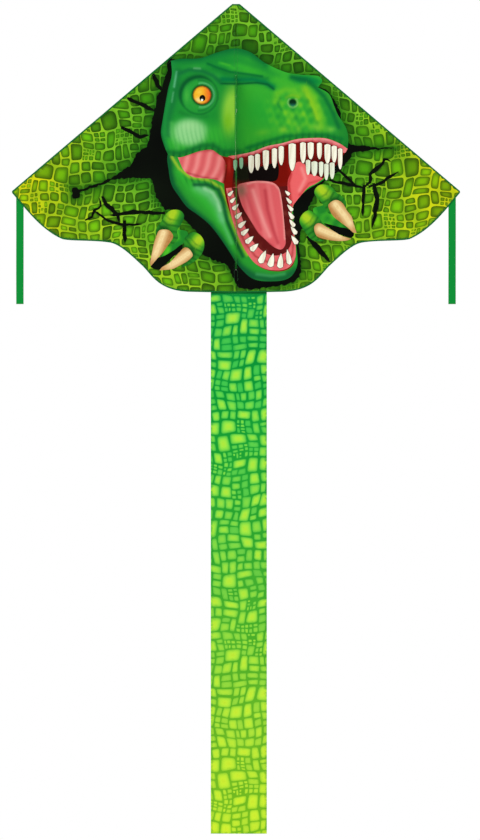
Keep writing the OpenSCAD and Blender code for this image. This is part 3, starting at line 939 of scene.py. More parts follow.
# The inside of the mouth: dark red, nearly black at the top left and behind the far teeth.
mouth_paint = brushed(
    (121, 14, 8),
    ((20, 22, 10), 1.6, (20, 454), (44, 34)),
    ((60, 6, 4), 0.7, (205, 440), (60, 40)),
    ((30, 4, 4), 0.8, (240, 440), (46, 26)),
)
band_paint = brushed((132, 16, 8), ((178, 44, 36), 1, (-18, 430), (6, 30)))
throat_paint = brushed((12, 5, 4))
cavity_paint = brushed((121, 11, 2), ((190, 36, 30), 1, (150, 420), (12, 44)))
cheek_right_paint = brushed(
    (237, 99, 104),
    ((180, 40, 44), 0.8, [(147, 455), (141, 480), (148, 540)], 5),
    ((250, 160, 160), 0.6, [(176, 440), (186, 468), (170, 500)], 7),
    ((190, 50, 54), 0.6, [(232, 470), (196, 480), (170, 512)], 4),
)


def gum_notches(p):
    """Dark notches between the roots of the upper teeth."""
    between = np.clip(np.sin(p[:, 0] / 2.7 + 1.2), 0, 1)
    return between * np.exp(-to_line(p, GUM_EDGE) / 5)


GUM_EDGE = [
    (-5, 417), (30, 410), (58, 403), (90, 392), (125, 382), (170, 372), (205, 371), (245, 375), (272, 387),
]


def gum_paint(p, depth, tint):
    base = even(p, 226, 98, 104)
    base = mix(base, rgb(246, 150, 152), 0.6 * np.clip(ripple(p, 9, 2), 0, 1))
    base = mix(base, rgb(112, 14, 30), 0.9 * gum_notches(p))
    return airbrush(p, base, (
        ((170, 50, 54), 0.8, [(-19, 500), (-11, 545), (2, 590), (24, 640), (52, 676), (86, 692), (126, 694),
                              (150, 676), (156, 622)], 4),
        ((250, 168, 170), 0.7, [(11, 404), (46, 396), (83, 382), (123, 374), (163, 364), (200, 361),
                                (241, 362), (276, 375)], 3),
        ((140, 20, 34), 0.95, GUM_EDGE, 4.2),
    ))


def floor_paint(p, depth, tint):
    base = mix(even(p, 92, 18, 18), rgb(50, 10, 10), spot(p, (20, 520), (24, 60)))
    return mix(base, rgb(130, 60, 48), 0.5 * np.clip(ripple(p, 6, 5), 0, 1))


def tongue_paint(p, depth, tint):
    base = even(p, 222, 92, 100)
    base = mix(base, rgb(238, 128, 132), 0.5 * np.clip(np.sin(p[:, 0] / 5 - p[:, 1] / 31), 0, 1))
    return airbrush(p, base, (
        ((242, 150, 152), 0.8, [(46, 500), (58, 540), (76, 588), (90, 622)], 9),
        ((188, 58, 70), 0.75, [(78, 500), (84, 550), (100, 606), (112, 640)], 7),
        ((206, 74, 86), 0.6, [(28, 510), (44, 556), (66, 604)], 7),
        ((120, 104, 84), 0.75, (14, 500), (20, 26)),
        ((240, 160, 158), 0.9, [(30, 481), (54, 476), (84, 477), (104, 483), (118, 500), (127, 560),
                                (131, 630)], 3.5),
        ((150, 36, 46), 0.8, [(14, 545), (38, 584), (60, 617), (78, 634), (98, 650)], 4),
    ))


tooth_rim_paint = brushed((52, 8, 12))


def tooth_paint(p, depth, tint):
    """Teeth with cream streaks; the tint says how green they are."""
    edge = np.clip(np.sin(p[:, 0] / 2.6 + p[:, 1] / 19), 0, 1)
    base = mix(even(p, 253, 247, 234), rgb(214, 200, 178), 0.5 * edge)
    return mix(base, rgb(116, 176, 140), np.clip(tint, 0, 1))


# The middle line of each finger, from its knuckle to its claw, and of each claw, from root to tip.
FINGER_LINES = (
    ((-168, 558), (-192, 610)), ((-98, 630), (-126, 666)), ((226, 494), (268, 536)), ((186, 570), (222, 602)),
)
CLAW_LINES = (
    [(-194, 612), (-207, 648), (-226, 696)], [(-128, 668), (-158, 690), (-198, 711)],
    [(266, 536), (292, 568), (319, 608)], [(224, 603), (258, 617), (304, 629)],
)


def to_claws(p):
    """The distance to the nearest claw's middle line."""
    return np.min([to_line(p, line) for line in CLAW_LINES], axis=0)


def beside_claws(p, half_width):
    """1 on the claws, falling off beside them."""
    return np.exp(-np.maximum(to_claws(p) - half_width, 0) / 5)


def finger_paint(p, depth, tint):
    """The fingers: yellow-green knuckles, then darker skin wrinkled across, up to the claw."""
    far = np.full(len(p), 1e9)
    along = np.zeros(len(p))
    for back, claw in FINGER_LINES:
        back, claw = np.array(back, float), np.array(claw, float)
        length = np.linalg.norm(claw - back)
        t = (p - back) @ ((claw - back) / length)
        away = to_line(p, [tuple(back), tuple(claw)])
        along = np.where(away < far, t / length, along)
        far = np.minimum(far, away)
    skin = mix(even(p, 170, 202, 36), rgb(70, 160, 34), (far - 6) / 13)
    skin = mix(skin, rgb(22, 104, 36), (far - 16) / 14)
    skin = mix(skin, rgb(48, 140, 36), np.clip((along - 0.3) * 2.2, 0, 0.9))
    wrinkles = np.clip(np.sin(along * 22 + far / 9), 0, 1) * np.clip((along - 0.15) * 3, 0, 1)
    skin = mix(skin, rgb(14, 84, 28), 0.6 * wrinkles)
    return mix(skin, rgb(12, 70, 24), 0.8 * beside_claws(p, 15))


def palm_paint(p, depth, tint):
    base = mix(even(p, 30, 128, 40), rgb(84, 196, 40), ripple(p, 11, 4) + 0.3)
    return mix(base, rgb(14, 76, 26), 0.8 * beside_claws(p, 14))


def claw_paint(p, depth, tint):
    """Horn: pale along the middle, brown at the edges and the tip."""
    away = to_claws(p)
    tips = np.min([np.hypot(*(p - line[-1]).T) for line in CLAW_LINES], axis=0)
    base = mix(even(p, 248, 220, 168), rgb(178, 120, 66), (away - 3) / 15)
    grain = np.clip(np.sin(away * 1.1), 0, 1)
    base = mix(base, rgb(222, 178, 118), 0.4 * grain)
    return mix(base, rgb(176, 112, 58), 0.7 * np.clip(1 - tips / 26, 0, 1))


# ---------------------------------------------------------------- shapes of the picture


def crack(rng, width, *points):
    """A jagged tapering crack along a few points."""
    line = resample(curve([p + (1,) for p in points], 6, closed=False), 11)
    across = normals_2d(line)
    t = np.linspace(0, 1, len(line))
    half = width / 2 * (0.35 + 0.65 * np.sin(math.pi * np.clip(t * 0.8 + 0.12, 0, 1)))
    left = half * np.array([rng.uniform(0.55, 1.25) for _ in line])
    right = half * np.array([rng.uniform(0.55, 1.25) for _ in line])
    left[-1] = right[-1] = 0.7
    return np.concatenate([line + across * left[:, None], (line - across * right[:, None])[::-1]])


def tooth(left, right, root, point):
    """A long tooth hanging from its root: nearly straight sides and a blunt point."""
    w, h = right - left, point - root
    return curve((
        (left, root, 1), ((left + right) / 2, root - 3), (right, root, 1),
        (right - 0.02 * w, root + 0.62 * h), (right - 0.22 * w, root + 0.9 * h),
        (left + 0.58 * w, point), (left + 0.34 * w, root + 0.97 * h), (left + 0.06 * w, root + 0.7 * h),
    ), 3)


def low_tooth(x, d, px, pd, width):
    """A pointed tooth from a root point towards its tip."""
    root, tip = np.array((x, d), float), np.array((px, pd), float)
    along = tip - root
    side = np.array((-along[1], along[0])) / np.linalg.norm(along) * width / 2
    return curve((
        (*(root - side), 1), (*(root - along * 0.15),), (*(root + side), 1),
        (*(root + along * 0.55 + side * 0.72),), (*tip, 1), (*(root + along * 0.55 - side * 0.72),),
    ), 3)


def picture():
    """The shapes of the head and hands, from the bottom layer up."""
    rng = random.Random(7)

    def plain(outline, painter):
        return Shape(curve(outline, 4), painter)

    shapes = [Shape(HOLE_LOOP, black_paint)]
    shapes += [Shape(crack(rng, *c), black_paint) for c in CRACKS]
    for fingers, claws, palm, gap in (
        (FINGERS_LEFT, CLAWS_LEFT, PALM_LEFT, GAP_LEFT),
        (FINGERS_RIGHT, CLAWS_RIGHT, PALM_RIGHT, GAP_RIGHT),
    ):
        shapes.append(plain(palm, palm_paint))
        shapes.append(plain(gap, black_paint))
        shapes += [plain(outline, finger_paint) for outline in fingers]
        shapes += [plain(outline, claw_paint) for outline in claws]
    shapes += [
        plain(JAW, jaw_paint),
        plain(MEMBRANE, membrane_paint),
        plain(MOUTH, mouth_paint),
        plain(BAND, band_paint),
        plain(CAVITY, cavity_paint),
        plain(THROAT, throat_paint),
        plain(GUM_LOW, gum_paint),
        plain(FLOOR, floor_paint),
        plain(CHEEK_RIGHT, cheek_right_paint),
        plain(TONGUE, tongue_paint),
    ]
    shapes += [Shape(tooth(*t), tooth_paint, 0.15) for t in TEETH_FAR]
    shapes += [plain(HEAD, head_paint), plain(GUM_TOP, gum_paint)]
    shapes += [Shape(inset(tooth(*t), -1.2), tooth_rim_paint) for t in TEETH_TOP]
    for k, t in enumerate(TEETH_TOP):
        shapes.append(Shape(tooth(*t), tooth_paint, 0.8 if k < 2 else 0.0))
    shapes += [Shape(inset(low_tooth(*t), -1.2), tooth_rim_paint) for t in TEETH_LOW]
    shapes += [Shape(low_tooth(*t), tooth_paint) for t in TEETH_LOW]
    shapes += [
        Shape(ellipse(EYE, 25, 25, 40), iris_paint),
        Shape(ellipse((EYE[0] + 1, EYE[1] + 8), 8, 8.5), pupil_paint),
        Shape(ellipse((EYE[0], EYE[1] + 13), 3.2, 3.2, 12), glint_paint),
    ]
    return shapes


# ---------------------------------------------------------------- the sail's print


def half_outline():
    """The right half of the sail, from the nose to the foot along its outer edge."""
    line = [np.array([(NOSE_HALF, 0)], float)]
    line.append(resample([(NOSE_HALF, 0), TIP], 14)[1:])
    for part in TRAILING:
        line.append(bezier(*part))
    line.append(np.array([TRAILING[-1][-1], (0, FOOT)], float))
    return np.concatenate(line)


def whole_outline():
    """The sail's whole edge."""
    half = half_outline()
    mirrored = half[::-1][1:] * (-1, 1)
    return np.concatenate([half, mirrored])


def in_picture(outline):
    """Whether a cell lies wholly under the head or the black."""
    return np.all(inside(outline, HEAD_LOOP)) or np.all(inside(outline, HOLE_LOOP))


def sail_print():
    """Every shape of the sail's print and its loose points."""
    rng = random.Random(21)
    outline = whole_outline()
    cells, cell_points, cell_depth = scale_shapes(
        rng, (-620, -10, 620, 790), 32, 60, 4.0, scale_paint, lambda o: not in_picture(o)
    )
    art = picture()
    shapes = [Shape(inset(outline, BORDER), ground_paint)] + cells + art
    art_outlines = np.concatenate([s.outline for s in art])
    fine = lattice(HEAD_LOOP, 3.4, art_outlines)
    jaw = lattice(curve(JAW, 6), 3.8, art_outlines)
    jaw = jaw[~inside(jaw, HEAD_LOOP)]
    dark = lattice(HOLE_LOOP, 11, art_outlines, 4)
    dark = dark[~inside(dark, HEAD_LOOP)]
    hands = np.concatenate([
        lattice(curve(loop, 6), 3.2, art_outlines)
        for loop in FINGERS_LEFT + FINGERS_RIGHT + CLAWS_LEFT + CLAWS_RIGHT + (PALM_LEFT, PALM_RIGHT)
    ])
    added = np.concatenate([fine, jaw, dark, hands])
    covered = inside(cell_points, HEAD_LOOP) | inside(cell_points, HOLE_LOOP)
    loose = np.concatenate([cell_points[~covered], added])
    depth = np.concatenate([cell_depth[~covered], np.ones(len(added))])
    return shapes, loose, depth


def slack(x, d):
    """How free the cloth is: 0 along the rods and the spine, 1 in the open."""
    ax = np.abs(x)
    edge = (d + BORDER) * LEAD_RUN - (ax - NOSE_HALF) * LEAD_DROP
    return np.clip(edge / 90, 0, 1) * np.clip(ax / 60, 0, 1)


def sail_relief(x, d):
    """Pull lines from the fittings and a little flutter at the free edge, in mm."""
    ax = np.abs(x)
    across, down = ax - CONNECTOR[0], d - CONNECTOR[1]
    pull = np.sin(np.arctan2(down, across) * 9 + 0.6) * np.exp(-((np.hypot(across, down) - 110) / 95) ** 2)
    nose = np.sin(np.arctan2(ax, d + 30) * 26) * np.exp(-((np.hypot(ax, d) - 190) / 120) ** 2)
    flutter = np.sin(ax / 27 + 0.02 * d) * np.clip((d - 480) / 160, 0, 1)
    belly = 1.6 * np.sin(ax / 190 + 0.4) * np.sin(d / 210)
    return slack(x, d) * (1.1 * pull + 0.8 * nose + 1.3 * flutter + belly - 0.6)


def sail_half(name, side, print_parts, materials):
    """One half of the sail with its share of the print; side is 1 right, -1 left."""
    gap = 0.06
    half = half_outline()
    loop = np.concatenate([half[:-1], [(gap, FOOT)], resample([(gap, FOOT), (gap, 0)], 12)[1:]])
    loop = loop * (side, 1)
    flat, corners, top, deep, used = triangulate(loop, *print_parts)
    colours = paint(flat, corners, top, deep, used, rgb(10, 104, 46))
    return solid_sheet(name, flat, corners, on_sail, sail_relief, materials, colours)


# ---------------------------------------------------------------- materials


class Look:
    """A new material and short calls for its nodes."""

    def __init__(self, name, rough=0.6, sheen=0.0, metallic=0.0, coat=0.0, gloss=0.5):
        self.material = bpy.data.materials.new(name)
        self.material.use_nodes = True
        self.tree = self.material.node_tree
        self.shader = self.tree.nodes["Principled BSDF"]
        self.shader.inputs["Roughness"].default_value = rough
        self.shader.inputs["Sheen Weight"].default_value = sheen
        self.shader.inputs["Metallic"].default_value = metallic
        self.shader.inputs["Coat Weight"].default_value = coat
        self.shader.inputs["Specular IOR Level"].default_value = gloss
        self.place = self.node("ShaderNodeTexCoord").outputs["Object"]

    def node(self, kind, **settings):
        made = self.tree.nodes.new(kind)
        for key, value in settings.items():
            setattr(made, key, value)
        return made

    def link(self, a, b):
        self.tree.links.new(a, b)

    def noise(self, scale, stretch=(1, 1, 1), detail=3.0):
        """Noise about size metres/scale, stretched along an axis by a small number there."""
        mapping = self.node("ShaderNodeMapping")
        mapping.inputs["Scale"].default_value = stretch
        self.link(self.place, mapping.inputs["Vector"])
        noise = self.node("ShaderNodeTexNoise")
        noise.inputs["Scale"].default_value = scale
        noise.inputs["Detail"].default_value = detail
        self.link(mapping.outputs["Vector"], noise.inputs["Vector"])
        return noise.outputs["Fac"]

    def waves(self, scale):
        """Slanting bands."""
        wave = self.node("ShaderNodeTexWave", wave_type="BANDS", bands_direction="DIAGONAL")
        wave.inputs["Scale"].default_value = scale
        self.link(self.place, wave.inputs["Vector"])
        return wave.outputs["Fac"]

    def between(self, value, low, high):
        """Maps 0..1 to low..high."""
        found = self.node("ShaderNodeMapRange")
        found.inputs["To Min"].default_value = low
        found.inputs["To Max"].default_value = high
        self.link(value, found.inputs["Value"])
        return found.outputs["Result"]

    def math(self, operation, a, b):
        found = self.node("ShaderNodeMath", operation=operation)
        self.link(a, found.inputs[0])
        self.link(b, found.inputs[1])
        return found.outputs[0]

    def blend(self, factor, a, b, kind="MIX"):
        """Mixes two colours; each is a socket or an (r, g, b)."""
        found = self.node("ShaderNodeMix", data_type="RGBA", blend_type=kind)
        if isinstance(factor, (int, float)):
            found.inputs["Factor"].default_value = factor
        else:
            self.link(factor, found.inputs["Factor"])
        for socket, value in ((found.inputs[6], a), (found.inputs[7], b)):
            if isinstance(value, (tuple, np.ndarray)):
                socket.default_value = (*value, 1)
            else:
                self.link(value, socket)
        return found.outputs[2]

    def finish(self, colour, height=None, strength=0.0, distance=0.0, rough=None):
        """Joins colour, bump height (strength, distance in metres) and roughness to the shader."""
        self.link(colour, self.shader.inputs["Base Color"])
        if rough is not None:
            self.link(rough, self.shader.inputs["Roughness"])
        if height is not None:
            bump = self.node("ShaderNodeBump")
            bump.inputs["Strength"].default_value = strength
            bump.inputs["Distance"].default_value = distance
            self.link(height, bump.inputs["Height"])
            self.link(bump.outputs["Normal"], self.shader.inputs["Normal"])
        return self.material


def dye(*values):
    """A material colour from screen values out of 255."""
    return tuple(linear(rgb(*values)))


def weave_height(look):
    """Threads of a plain weave: uneven warp and weft streaks."""
    warp_threads = look.noise(1900, (1, 1, 0.035), 2)
    weft_threads = look.noise(1900, (0.035, 1, 1), 2)
    return look.math("ADD", warp_threads, weft_threads)


# The pale tone that worn or faded cloth turns to.
CHALKY = (0.50, 0.60, 0.42)


def cloth_look(name, colour=None, faded=0.0, rough=0.62, sheen=0.03):
    """Thin polyester: a print or one dye, with weave, slubs, cloudy dye and worn threads."""
    look = Look(name, rough, sheen, gloss=0.04)
    look.shader.inputs["Sheen Roughness"].default_value = 0.4
    if colour is None:
        source = look.node("ShaderNodeVertexColor", layer_name="print").outputs["Color"]
    else:
        source = dye(*colour)
    threads = weave_height(look)
    lit = look.blend(look.between(threads, 0.0, 0.3), source, (0.78, 0.86, 0.68), "MULTIPLY")
    clouds = look.noise(38, detail=4)
    dyed = look.blend(look.between(clouds, 0.0, 0.16), lit, (0.72, 0.90, 0.62), "MULTIPLY")
    worn = look.between(look.noise(7, detail=5), -0.06, 0.03)
    result = look.blend(worn, dyed, CHALKY)
    if faded:
        result = look.blend(faded, result, CHALKY)
    return look.finish(result, threads, 0.4, 0.0003, look.between(threads, rough - 0.08, rough + 0.1))


def thread_look(name, colour):
    """Twisted sewing thread."""
    look = Look(name, 0.5, 0.2)
    twist = look.waves(900)
    tone = look.blend(look.between(twist, 0.0, 0.5), dye(*colour), (0.35, 0.40, 0.30), "MULTIPLY")
    return look.finish(tone, twist, 0.3, 0.0001)


def fibreglass_look():
    """Dark pultruded rod: long fibres under clear resin."""
    look = Look("fibreglass_rod", 0.32, coat=0.4)
    along_z = look.noise(2600, (1, 1, 0.02), 2)
    along_x = look.noise(2600, (0.02, 1, 1), 2)
    fibres = look.math("MULTIPLY", along_z, along_x)
    tone = look.blend(look.between(fibres, 0.2, 1.3), (0.012, 0.014, 0.013), (0.075, 0.085, 0.075))
    scuffs = look.between(look.noise(90, detail=5), 0.24, 0.5)
    return look.finish(tone, fibres, 0.2, 0.0002, scuffs)


def plastic_look(name, colour, rough=0.42, grain=420):
    """Moulded soft plastic with a fine grain and rubbed patches."""
    look = Look(name, rough)
    texture = look.noise(grain, detail=4)
    rubbed = look.noise(60, detail=5)
    base = dye(*colour)
    pale = tuple(np.clip(np.array(base) * 1.9 + 0.03, 0, 1))
    tone = look.blend(look.between(rubbed, -0.25, 0.75), base, pale)
    return look.finish(tone, texture, 0.25, 0.0003, look.between(rubbed, rough - 0.1, rough + 0.25))


def metal_look():
    """Nickel-plated brass with turning marks and dull patches."""
    look = Look("nickel", 0.25, metallic=1.0)
    marks = look.noise(2200, (1, 0.05, 1), 3)
    dull = look.noise(320, detail=4)
    tone = look.blend(look.between(dull, 0.0, 0.9), (0.72, 0.70, 0.66), (0.50, 0.47, 0.42))
    return look.finish(tone, marks, 0.15, 0.0001, look.between(dull, 0.12, 0.5))


def floor_look():
    look = Look("studio_floor", 0.85)
    tone = look.blend(look.between(look.noise(3), 0.0, 0.2), (0.86, 0.86, 0.86), (0.80, 0.80, 0.81))
    return look.finish(tone)


# ---------------------------------------------------------------- cloth pieces


def flat_relief(u, v):
    """No relief, for what lies along a rod."""
    return np.zeros(len(u))


def towards(line, centre):
    """The unit normals of a line, on the side of it where centre lies."""
    across = normals_2d(line)
    return across if np.sum((np.array(centre) - line.mean(0)) * across.mean(0)) > 0 else -across


def hem_grid(line, across, width, relief):
    """A folded hem that lies behind the cloth, from its edge inwards, puffed up along its middle."""
    columns = []
    for share in (0, 1 / 3, 2 / 3, 1):
        q = line + across * width * share
        lift = relief(q[:, 0], q[:, 1]) + BEHIND + 0.12 * math.sin(math.pi * share)
        columns.append(on_sail(q[:, 0], q[:, 1], lift))
    return np.stack(columns, axis=1)


def seam(line, relief, back=0.75):
    """Thread on both faces of the cloth along a line: the back one, then the front one."""
    lift = relief(line[:, 0], line[:, 1])
    return [stitch_row(on_sail(line[:, 0], line[:, 1], lift + place)) for place in (back, -0.25)]


def leading_point(s, inwards, side):
    """A point s along the right or left leading edge and a distance inside it."""
    ax = NOSE_HALF + s * LEAD_RUN - inwards * LEAD_DROP
    d = s * LEAD_DROP + inwards * LEAD_RUN
    return np.stack([side * ax, d], axis=-1)


# Where the pieces of the leading edge start and end, along it, and those of the spine, down it.
NOSE_HEM_SPAN = (2, 148)
SLEEVE_UPPER_SPAN = (162, 455)
SLEEVE_LOWER_SPAN = (515, 748)
TIP_POCKET_SPAN = (749.5, 770)
NOSE_POCKET_SPAN = (1, 25)
SPINE_SLEEVE_SPAN = (26, 748)
FOOT_POCKET_SPAN = (749, 773)


def tunnel_profile():
    """Across a sewn rod tunnel: (inwards, lift) from the edge, round the rod, to the flange."""
    radius, centre, depth, reach = 2.55, 5.0, 3.0, 10.4
    points = [(0.3, BEHIND), (1.2, 0.55)]
    for k in range(11):
        angle = math.radians(205 - 23 * k)
        points.append((centre + radius * math.cos(angle), depth + radius * math.sin(angle)))
    points += [(centre + radius + 0.9, 0.62), (reach - 1.2, 0.45), (reach, BEHIND)]
    return np.array(points)


def sleeve(name, side, span, trim, thread, closed=False):
    """The cloth tunnel along a span of a leading edge, which may be closed at its end."""
    start, end = span
    profile = tunnel_profile()
    rows = []
    for s in np.arange(start, end + 0.1, 1.5 if closed else 4.0):
        pucker = 0.10 * math.sin(s / 2.9) + 0.08 * math.sin(s / 7.7 + side)
        height = min(1.0, 0.12 + (end - s) / 7) if closed else 1.0
        lift = BEHIND + (profile[:, 1] - BEHIND) * height * (1 + 0.02 * pucker)
        inwards = profile[:, 0] + pucker * (profile[:, 0] > 8)
        p = leading_point(np.full(len(profile), s), inwards, side)
        rows.append(on_sail(p[:, 0], p[:, 1], lift))
    line = leading_point(np.arange(start + 1, end - 1, 3.0), 9.2, side)
    parts = [(*cloth_grid(np.stack(rows)), trim)]
    parts += [(*row, thread) for row in seam(line, flat_relief)]
    return piece(name, parts)


def hem(name, line, trim, thread, relief):
    """A folded hem with two stitch lines, behind the sail's edge."""
    across = towards(line, (0, 400))
    parts = [(*cloth_grid(hem_grid(line, across, HEM, relief)), trim)]
    inner = HEM - 1.3
    for inwards in (inner, inner * 0.22):
        parts += [(*row, thread) for row in seam(line + across * inwards, relief)]
    return piece(name, parts)


def trailing_line(side):
    """The trailing edge from just inside the wing tip to the foot."""
    foot = np.array([TRAILING[-1][-1], (0.8, FOOT)])
    line = np.concatenate([bezier(*part) for part in TRAILING] + [foot])
    return resample(line, 5.0)[3:] * (side, 1)


def wrap_row(d, radius, centre_y, reach):
    """Cloth wrapped round the spine rod at one place, its flanges down on the sail."""
    points = [(-reach, BEHIND), (-1.3 - 0.2 * radius, 0.45), (-0.55, 0.75)]
    for j in range(13):
        angle = math.radians(-108 - 24 * j)
        points.append((radius * math.cos(angle), centre_y + radius * math.sin(angle)))
    points += [(0.55, 0.75), (1.3 + 0.2 * radius, 0.45), (reach, BEHIND)]
    points = np.array(points)
    points[:, 0] += 0.12 * math.sin(d / 3.1)
    return on_sail(points[:, 0], np.full(len(points), d), points[:, 1])


def spine_sleeve(trim, thread):
    """The tunnel that holds the spine, sewn down on both sides."""
    start, end = SPINE_SLEEVE_SPAN
    stations = np.arange(start, end + 0.1, 4.0)
    rows = [wrap_row(d, 2.45 + 0.07 * math.sin(d / 5.3), 4.0, 6.0) for d in stations]
    parts = [(*cloth_grid(np.stack(rows)), trim)]
    for x in (-4.6, 4.6):
        parts += [(*row, thread) for row in seam(straight_line((x, start + 1), (x, end - 4), 240), flat_relief)]
    return piece("spine_sleeve_cloth", parts)


def spine_pocket(name, span, closed_end, trim, thread):
    """A reinforced pocket over one end of the spine, shut at the first (0) or second (1) end of its span."""
    start, end = span
    closed_at = span[closed_end]
    rows = []
    for d in np.linspace(start, end, 17):
        height = min(1.0, 0.10 + abs(d - closed_at) / 6)
        rows.append(wrap_row(d, 0.4 + 2.6 * height, 0.9 + 3.1 * height, 8.0))
    parts = [(*cloth_grid(np.stack(rows), 0.5), trim)]
    for x in (-6.6, 6.6):
        line = straight_line((x, start + 1), (x, end - 1), 9)
        parts += [(*row, thread) for row in seam(line, flat_relief, 0.8)]
    last = closed_at + math.copysign(1.6, (start + end) / 2 - closed_at)
    parts.append((*seam(straight_line((-7, last), (7, last), 9), flat_relief, 1.1)[0], thread))
    return piece(name, parts)


def tie_strap(trim, thread):
    """The loop of tape that holds the centre tube, sewn down above and below it."""
    low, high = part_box("centre_tube")
    middle_d = (NOSE_Z - (low.z + high.z) / 2) / MM
    middle_y = ((low.y + high.y) / 2 - SAIL_Y) / MM
    loop_radius = 3.85
    path = [(-14, 6.85), (-9, 6.8), (-4, 6.75), (-1.4, 6.9)]
    for k in range(13):
        angle = math.radians(-110 - 26.7 * k)
        path.append((-loop_radius * math.cos(angle), middle_y + loop_radius * math.sin(angle)))
    path = np.array(path + [(-along, lift) for along, lift in path[3::-1]])
    rows = []
    for x in np.linspace(-5, 5, 7):
        wave = 0.08 * math.sin(x * 1.9)
        rows.append(on_sail(np.full(len(path), x), middle_d + path[:, 0], path[:, 1] + wave))
    parts = [(*cloth_grid(np.stack(rows)), trim)]
    for at in (-11, -6.5, 6.5, 11):
        line = on_sail(np.linspace(-4.4, 4.4, 7), np.full(7, middle_d + at), np.full(7, 7.1))
        parts.append((*stitch_row(line, 1.8, 0.7), thread))
    return piece("centre_tie_strap", parts)


def centre_tube_half(name, side, vinyl):
    """Half of the soft centre tube between the two cross rods."""
    low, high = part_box("centre_tube")
    radius, end = (high.z - low.z) / 2, high.x
    y, z = (low.y + high.y) / 2, (low.z + high.z) / 2
    bore = 0.00205
    sides = 32
    outside, inside_run = np.linspace(0, end - 0.0006, 18), np.linspace(end - 0.004, 0, 8)
    xs = [*outside, end - 0.0002, end, end, end - 0.0008, *inside_run]
    rs = [radius] * 18 + [radius - 0.0002, radius - 0.0006, bore + 0.0003] + [bore] * 9
    verts, faces = [], []
    for x, r in zip(xs, rs):
        for k in range(sides):
            angle = 2 * math.pi * k / sides
            verts.append((side * x, y + r * math.cos(angle), z + r * math.sin(angle)))
    for i in range(len(xs)):
        j = (i + 1) % len(xs)
        for k in range(sides):
            a, b = i * sides + k, i * sides + (k + 1) % sides
            c, d = j * sides + (k + 1) % sides, j * sides + k
            faces.append((a, b, c, d) if side > 0 else (d, c, b, a))
    return piece(name, [(verts, faces, vinyl)])


# ---------------------------------------------------------------- keel

TOW = (150, 300)
KEEL_TOP = 190
KEEL_LOW = 714
KEEL_ROUND = 18
KEEL_START = 1.4
EYELET_HOLE = 4.7
PATCH_REACH = 39.4
KEEL_WHITE = (236, 238, 232)


def keel_outline():
    """The keel's free edge from its upper corner round the tow point to its lower corner."""
    top, low = (KEEL_START, KEEL_TOP), (KEEL_START, KEEL_LOW)

    def tangent(corner, turn):
        u, v = corner[0] - TOW[0], corner[1] - TOW[1]
        return math.atan2(v, u) + turn * math.acos(KEEL_ROUND / math.hypot(u, v))

    nose = arc(TOW, KEEL_ROUND, np.linspace(tangent(top, 1), tangent(low, -1), 15))
    upper, lower = resample([top, nose[0]], 6), resample([nose[-1], low], 6)
    return np.concatenate([upper[:-1], nose, lower[1:]])


def keel_relief(u, v):
    """A soft belly between the sail and the tow point, with pull lines round it."""
    across, down = u - TOW[0], v - TOW[1]
    pull = np.sin(np.arctan2(down, across) * 14) * np.exp(-(np.hypot(across, down) / 110 - 0.9) ** 2)
    hold = np.clip(u / 30, 0, 1)
    return hold * (0.5 * pull + 1.2 * np.sin(v / 75) * np.clip(1 - u / 170, 0, 1))


def keel_layer(name, loop, spacing, clearance, look, colour, middle=0.0):
    """A plain cloth of the keel inside a loop, with the eyelet's hole cut out."""
    hole = ellipse(TOW, EYELET_HOLE, EYELET_HOLE)
    loose = lattice(loop, spacing, loop, clearance)
    flat, corners, *_ = triangulate(loop, [Shape(loop), Shape(hole)], loose, np.ones(len(loose)))
    centre = flat[corners].mean(1) - TOW
    corners = corners[np.hypot(centre[:, 0], centre[:, 1]) > EYELET_HOLE - 0.04]
    colours = np.tile(rgb(*colour), (len(corners), 3, 1))
    return solid_sheet(name, flat, corners, on_keel, keel_relief, [look], colours, middle)


def keel_panel(looks):
    """The keel's cloth, sewn to the sail along the spine."""
    seam_edge = resample([(0.23, KEEL_LOW), (0.23, KEEL_TOP)], 7)
    loop = np.concatenate([keel_outline(), seam_edge])
    return keel_layer("keel_cloth", loop, 8.0, 4, looks["keel"], KEEL_WHITE)


def keel_stitches(line, lift):
    """A row of thread along a line of the keel, on the side that lift says."""
    return stitch_row(on_keel(line[:, 0], line[:, 1], keel_relief(line[:, 0], line[:, 1]) + lift))


def folded_binding(looks):
    """Tape folded over the keel's free edges, with a stitch line through it."""
    edge = resample(keel_outline(), 4.0)[1:-1]
    across = towards(edge, (60, 350))
    profile = ((7.8, -0.42), (4.0, -0.50), (0.6, -0.52), (-0.35, 0.0), (0.6, 0.52), (4.0, 0.50), (7.8, 0.42))
    columns = []
    for inwards, lift in profile:
        q = edge + across * inwards
        columns.append(on_keel(q[:, 0], q[:, 1], keel_relief(q[:, 0], q[:, 1]) + lift))
    parts = [(*cloth_grid(np.stack(columns, axis=1), 0.25), looks["binding"])]
    for lift in (-0.66, 0.66):
        parts.append((*keel_stitches(edge + across * 6.4, lift), looks["thread"]))
    return piece("keel_binding_tape", parts)


